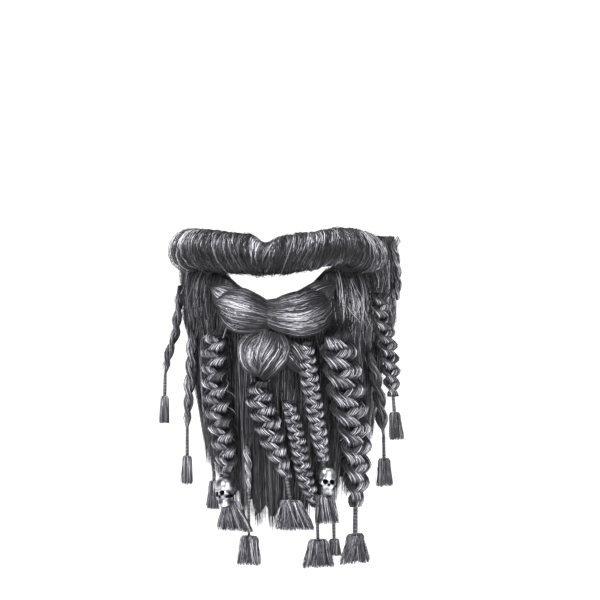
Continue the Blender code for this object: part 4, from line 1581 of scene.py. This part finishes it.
TASSELS: tuple[tuple, ...] = (
    ("tassel_left_outer", "rope_left_outer", -1.090, 0.090, 0.112, 0.50, 1.0),
    ("tassel_left_inner", "rope_left_inner", -0.870, 0.115, 0.115, 0.54, 1.0),
    ("tassel_left_back", -5, -0.600, 0.030, 0.115, 0.50, 1.0),
    ("tassel_left_main", "plait_left_main", -0.330, 0.104, 0.120, 1.04, 1.0),
    ("tassel_by_bead", "rope_by_bead", -0.206, 0.172, 0.118, 0.60, 0.8),
    ("tassel_chin", "plait_chin", 0.210, 0.088, 0.120, 0.86, 1.0),
    ("tassel_centre_thin", "plait_centre_thin", 0.385, 0.125, 0.114, 0.76, 1.0),
    ("tassel_right_inner", "plait_right_inner", 0.462, 0.134, 0.112, 0.56, 1.0),
    ("tassel_right_back", 4, 0.495, 0.150, 0.070, 0.34, 1.0),
    ("tassel_right_main", "plait_right_main", 0.650, 0.105, 0.122, 0.94, 1.5),
    ("tassel_right_outer", "plait_right_outer", 1.015, 0.060, 0.110, 0.48, 1.0),
    ("tassel_right_low", "rope_right_low", 0.885, 0.090, 0.114, 0.54, 1.0),
)


@dataclass
class SkullBead:
    """A cast bead in the shape of a generic skull, on the neck of a tassel.

    FORMS are its rounded lumps by middle, half size and squareness. PAIRED and SINGLE are its hollows
    by depth, place across and up, half width, half height and squareness, in bead widths and heights.
    """

    node: str
    tassel: Tassel
    down: float
    size: float
    tilt: float
    turn: float
    finish: Finish
    width: float = 14 * MM
    height: float = 21 * MM
    forward: float = 3.6 * MM
    columns: int = 88
    rows: int = 58

    FORMS = (
        ((0.0, 0.02, 0.19), (0.49, 0.50, 0.32), 2.2),
        ((0.0, -0.14, -0.07), (0.40, 0.36, 0.19), 3.2),
        ((0.0, -0.18, -0.25), (0.27, 0.28, 0.16), 3.0),
        ((0.0, -0.20, -0.39), (0.30, 0.27, 0.11), 3.4),
        ((-0.27, -0.22, -0.10), (0.17, 0.22, 0.07), 2.2),
        ((0.27, -0.22, -0.10), (0.17, 0.22, 0.07), 2.2),
        ((0.0, -0.36, 0.065), (0.36, 0.13, 0.035), 2.4),
    )
    PAIRED = (
        (0.17, 0.185, -0.025, 0.115, 0.068, 2.4),
        (0.06, 0.40, -0.20, 0.10, 0.07, 2.0),
        (-0.035, 0.185, 0.055, 0.15, 0.022, 2.0),
    )
    SINGLE = ((0.10, 0.0, -0.135, 0.065, 0.038, 2.0), (0.045, 0.0, -0.285, 0.26, 0.010, 2.0))

    def reach(self, n: Array) -> Array:
        """How far the skull reaches from its middle in each direction, as the union of its forms.

        Args:
            n: unit directions.

        Returns:
            The distances, in bead widths and heights.
        """
        far = np.full(n.shape[:-1], 0.05)
        steps = np.linspace(0.02, 0.62, 121)
        points = n[..., None, :] * steps[:, None]
        for middle, half, power in self.FORMS:
            inside = (np.abs((points - np.array(middle)) / np.array(half)) ** power).sum(-1) < 1
            last = len(steps) - 1 - np.argmax(inside[..., ::-1], axis=-1)
            far = np.maximum(far, np.where(inside.any(-1), steps[last], 0))
        return far

    @staticmethod
    def dent(points: Array, x: float, z: float, wide: float, high: float, power: float) -> Array:
        """A soft-edged hollow on the bead's face, 1 in its middle."""
        reach = np.abs((points[..., 0] - x) / wide) ** power + np.abs((points[..., 2] - z) / high) ** power
        return np.exp(-(reach**1.6)) * (points[..., 1] < 0.05)

    def form(self) -> tuple[Array, Array]:
        """Shapes the bead.

        Returns:
            Rows of points in shares of its width and height, and how hollow it is at each.
        """
        polar = np.linspace(0.02, math.pi - 0.02, self.rows)[:, None]
        around = circle(self.columns)[None, :]
        level = np.sin(polar)
        n = vectors(level * np.sin(around), -level * np.cos(around), np.cos(polar))
        far = self.reach(n)
        for _ in range(2):
            ring = (np.roll(far, 1, 1) + np.roll(far, -1, 1) + 2 * far) / 4
            far = np.vstack([ring[:1], (ring[:-2] + ring[2:] + 2 * ring[1:-1]) / 4, ring[-1:]])
        points = n * far[..., None]
        depth = np.zeros(far.shape)
        for side in (-1, 1):
            for deep, x, *sizes in self.PAIRED:
                depth += deep * self.dent(points, side * x, *sizes)
        for deep, *sizes in self.SINGLE:
            depth += deep * self.dent(points, *sizes)
        teeth = 0.5 + 0.5 * np.cos(points[..., 0] / 0.075 * 2 * math.pi)
        depth += 0.018 * (1 - teeth) * self.dent(points, 0.0, -0.285, 0.24, 0.060, 4.0)
        return points + np.array((0.0, 1.0, 0.0)) * depth[..., None], np.clip(depth / 0.09, 0, 1)

    def build(self) -> Piece:
        """Casts the bead and threads it on its tassel.

        Returns:
            The bead.
        """
        top, waist, _, _, away = self.tassel.line()
        share = (top[2] + DROP * self.down) / (top[2] - waist[2])
        points, hollow = self.form()
        x, y, z = np.moveaxis(points * (np.array((self.width, self.width, self.height)) * self.size), -1, 0)
        x, z = turned(x, z, -math.radians(self.tilt))
        x, y = turned(x, y, math.radians(self.turn))
        x, y = turned(x, y - self.forward, math.atan2(away[0], -away[1]))
        placed = vectors(x, y, z) + (top + (waist - top) * share)
        mesh = bpy.data.meshes.new(f"{self.node}_cast")
        mesh.from_pydata(placed.reshape(-1, 3), [], loft(self.rows, self.columns))
        mesh.attributes.new("hollow", "FLOAT", "POINT").data.foreach_set("value", hollow.ravel())
        mesh.materials.append(self.finish)
        mesh.shade_smooth()
        made = add_object(f"{self.node}_cast", mesh)
        outward(made)
        return mount(made, Slot.SILVER, self.node)


@dataclass
class Base:
    """The net base that the hair is knotted to, with its bound edge, and the head elastic."""

    nodes: dict[str, Piece]
    net: Finish
    elastic: Finish
    notch_half: float = 24 * MM
    notch_low: float = 44 * MM
    notch_drop: float = 4 * MM
    sharp_edge: float = math.radians(40)

    def copy(self, node: str, name: str, finish: Finish) -> Piece:
        """Copies a node's mesh, merged, with a finish.

        Args:
            node: the node to copy.
            name: the copy's name.
            finish: its material.

        Returns:
            The copy.
        """
        work = bmesh.new()
        work.from_mesh(self.nodes[node].data)
        bmesh.ops.remove_doubles(work, verts=work.verts, dist=0.01 * MM)
        bmesh.ops.recalc_face_normals(work, faces=work.faces)
        mesh = bpy.data.meshes.new(name)
        work.to_mesh(mesh)
        work.free()
        mesh.materials.append(finish)
        return add_object(name, mesh)

    def build(self) -> None:
        """Makes the base, a little lower behind the moustache's notch, and the elastic."""
        cloth = self.copy("backing", "net_base", self.net)
        for vertex in cloth.data.vertices:
            middle = 1 - smooth((abs(vertex.co.x) - self.notch_half / 2) / self.notch_half)
            vertex.co.z -= self.notch_drop * float(middle) * (vertex.co.z > self.notch_low)
        band = self.copy("head_elastic", "elastic_band", self.elastic)
        band.data.shade_smooth()
        band.data.set_sharp_from_angle(angle=self.sharp_edge)
        mount(cloth, Slot.BASE_CLOTH, "backing")
        mount(band, Slot.ELASTIC, "head_elastic")


@dataclass
class Studio:
    """A pale floor and backdrop, soft lights, and the camera at the photograph's angle."""

    azimuth: float = 10.0
    elevation: float = 0.3
    distance: float = 1.6
    lens: float = 141.0
    right: float = 19 * MM
    up: float = 12.2 * MM
    floor: float = -0.30
    half_width: float = 5.0
    paper: str = "#f6f6f7"
    glow: float = 0.5

    LAMPS = (
        ("key", (-0.55, -1.1, 0.75), 0.6, 24),
        ("fill", (0.9, -1.0, 0.25), 0.8, 8),
        ("top", (0.1, 0.1, 1.3), 0.8, 9),
    )

    def camera(self) -> None:
        """Sets the camera so that the beard lies in the frame as in the photograph."""
        a, e = math.radians(self.azimuth), math.radians(self.elevation)
        back = Vector((math.sin(a) * math.cos(e), -math.cos(a) * math.cos(e), math.sin(e)))
        right = Vector((math.cos(a), math.sin(a), 0))
        data = bpy.data.cameras.new("camera")
        data.lens = self.lens
        data.sensor_width = 36
        made = add_object("camera", data)
        made.location = right * self.right + back.cross(right) * self.up + back * self.distance
        made.rotation_euler = (-back).to_track_quat("-Z", "Y").to_euler()
        bpy.context.scene.camera = made

    def lamp(self, name: str, place: tuple[float, float, float], size: float, power: float) -> None:
        """Adds a soft light that faces the beard.

        Args:
            name: its name.
            place: where it stands.
            size: its side.
            power: its watts.
        """
        data = bpy.data.lights.new(name, "AREA")
        data.size = size
        data.energy = power
        made = add_object(name, data)
        made.location = place
        made.rotation_euler = (Vector((0, 0.02, -0.03)) - Vector(place)).to_track_quat("-Z", "Y").to_euler()

    def build(self) -> None:
        """Makes the floor, the backdrop, the lights and the world."""
        mesh = bpy.data.meshes.new("studio_paper")
        profile = ((-4.0, 0.0), (3.2, 0.0), (3.6, 0.15), (3.8, 0.6), (3.8, 4.0 - self.floor))
        points = [(x, y, z + self.floor) for x in (-self.half_width, self.half_width) for y, z in profile]
        count = len(profile)
        mesh.from_pydata(points, [], [(k, k + 1, k + 1 + count, k + count) for k in range(count - 1)])
        settings = {"Base Color": linear(self.paper), "Roughness": 0.9}
        settings |= {"Emission Color": linear("#ffffff"), "Emission Strength": self.glow}
        paper, tree = new_material("matt_paper")
        shader = add_node(tree, "ShaderNodeBsdfPrincipled", settings)
        add_node(tree, "ShaderNodeOutputMaterial", links={"Surface": shader.outputs["BSDF"]})
        mesh.materials.append(paper)
        mesh.shade_smooth()
        made = add_object("studio_paper", mesh)
        for lamp in self.LAMPS:
            self.lamp(*lamp)
        world = bpy.data.worlds.new("studio")
        world.use_nodes = True
        sky = world.node_tree.nodes["Background"].inputs
        sky["Color"].default_value = linear("#f4f5f7")
        sky["Strength"].default_value = self.glow
        bpy.context.scene.world = world
        bpy.context.scene.view_settings.view_transform = "Standard"
        self.camera()


def main() -> None:
    """Builds the beard's pieces in order."""
    logging.basicConfig(level=logging.INFO, format="%(message)s")
    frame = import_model()
    light = HairFinish("mixed_synthetic_hair", LIGHT_STOPS).make()
    dark = HairFinish("dark_synthetic_hair", DARK_STOPS).make()
    cut = HairFinish("cut_tassel_hair", LIGHT_STOPS, roughness=0.5).make()
    metal = CastMetalFinish().make()

    Base(frame["nodes"], NetFinish().make(), ElasticFinish().make()).build()
    Moustache(light).build()
    sheet = BeardSheet(light, dark)
    sheet.cheek()
    sheet.fall()
    ChinLocks(light).build()
    for kind, rows, seed in ((TressKind.PLAIT, PLAITS, 100), (TressKind.ROPE, ROPES, 120)):
        for number, (name, path) in enumerate(rows.items()):
            Tress(name, kind, path, seed + number, light).build()
    tassels = {row[0]: Tassel(*row, seed=200 + number, finish=cut) for number, row in enumerate(TASSELS)}
    for tassel in tassels.values():
        tassel.build()
    SkullBead("skull_bead_left", tassels["tassel_left_main"], 0.695, 1.0, -14, -6, metal).build()
    SkullBead("skull_bead_right", tassels["tassel_right_inner"], 0.645, 0.93, 4, -8, metal).build()
    Studio().build()


if __name__ == "__main__":
    main()
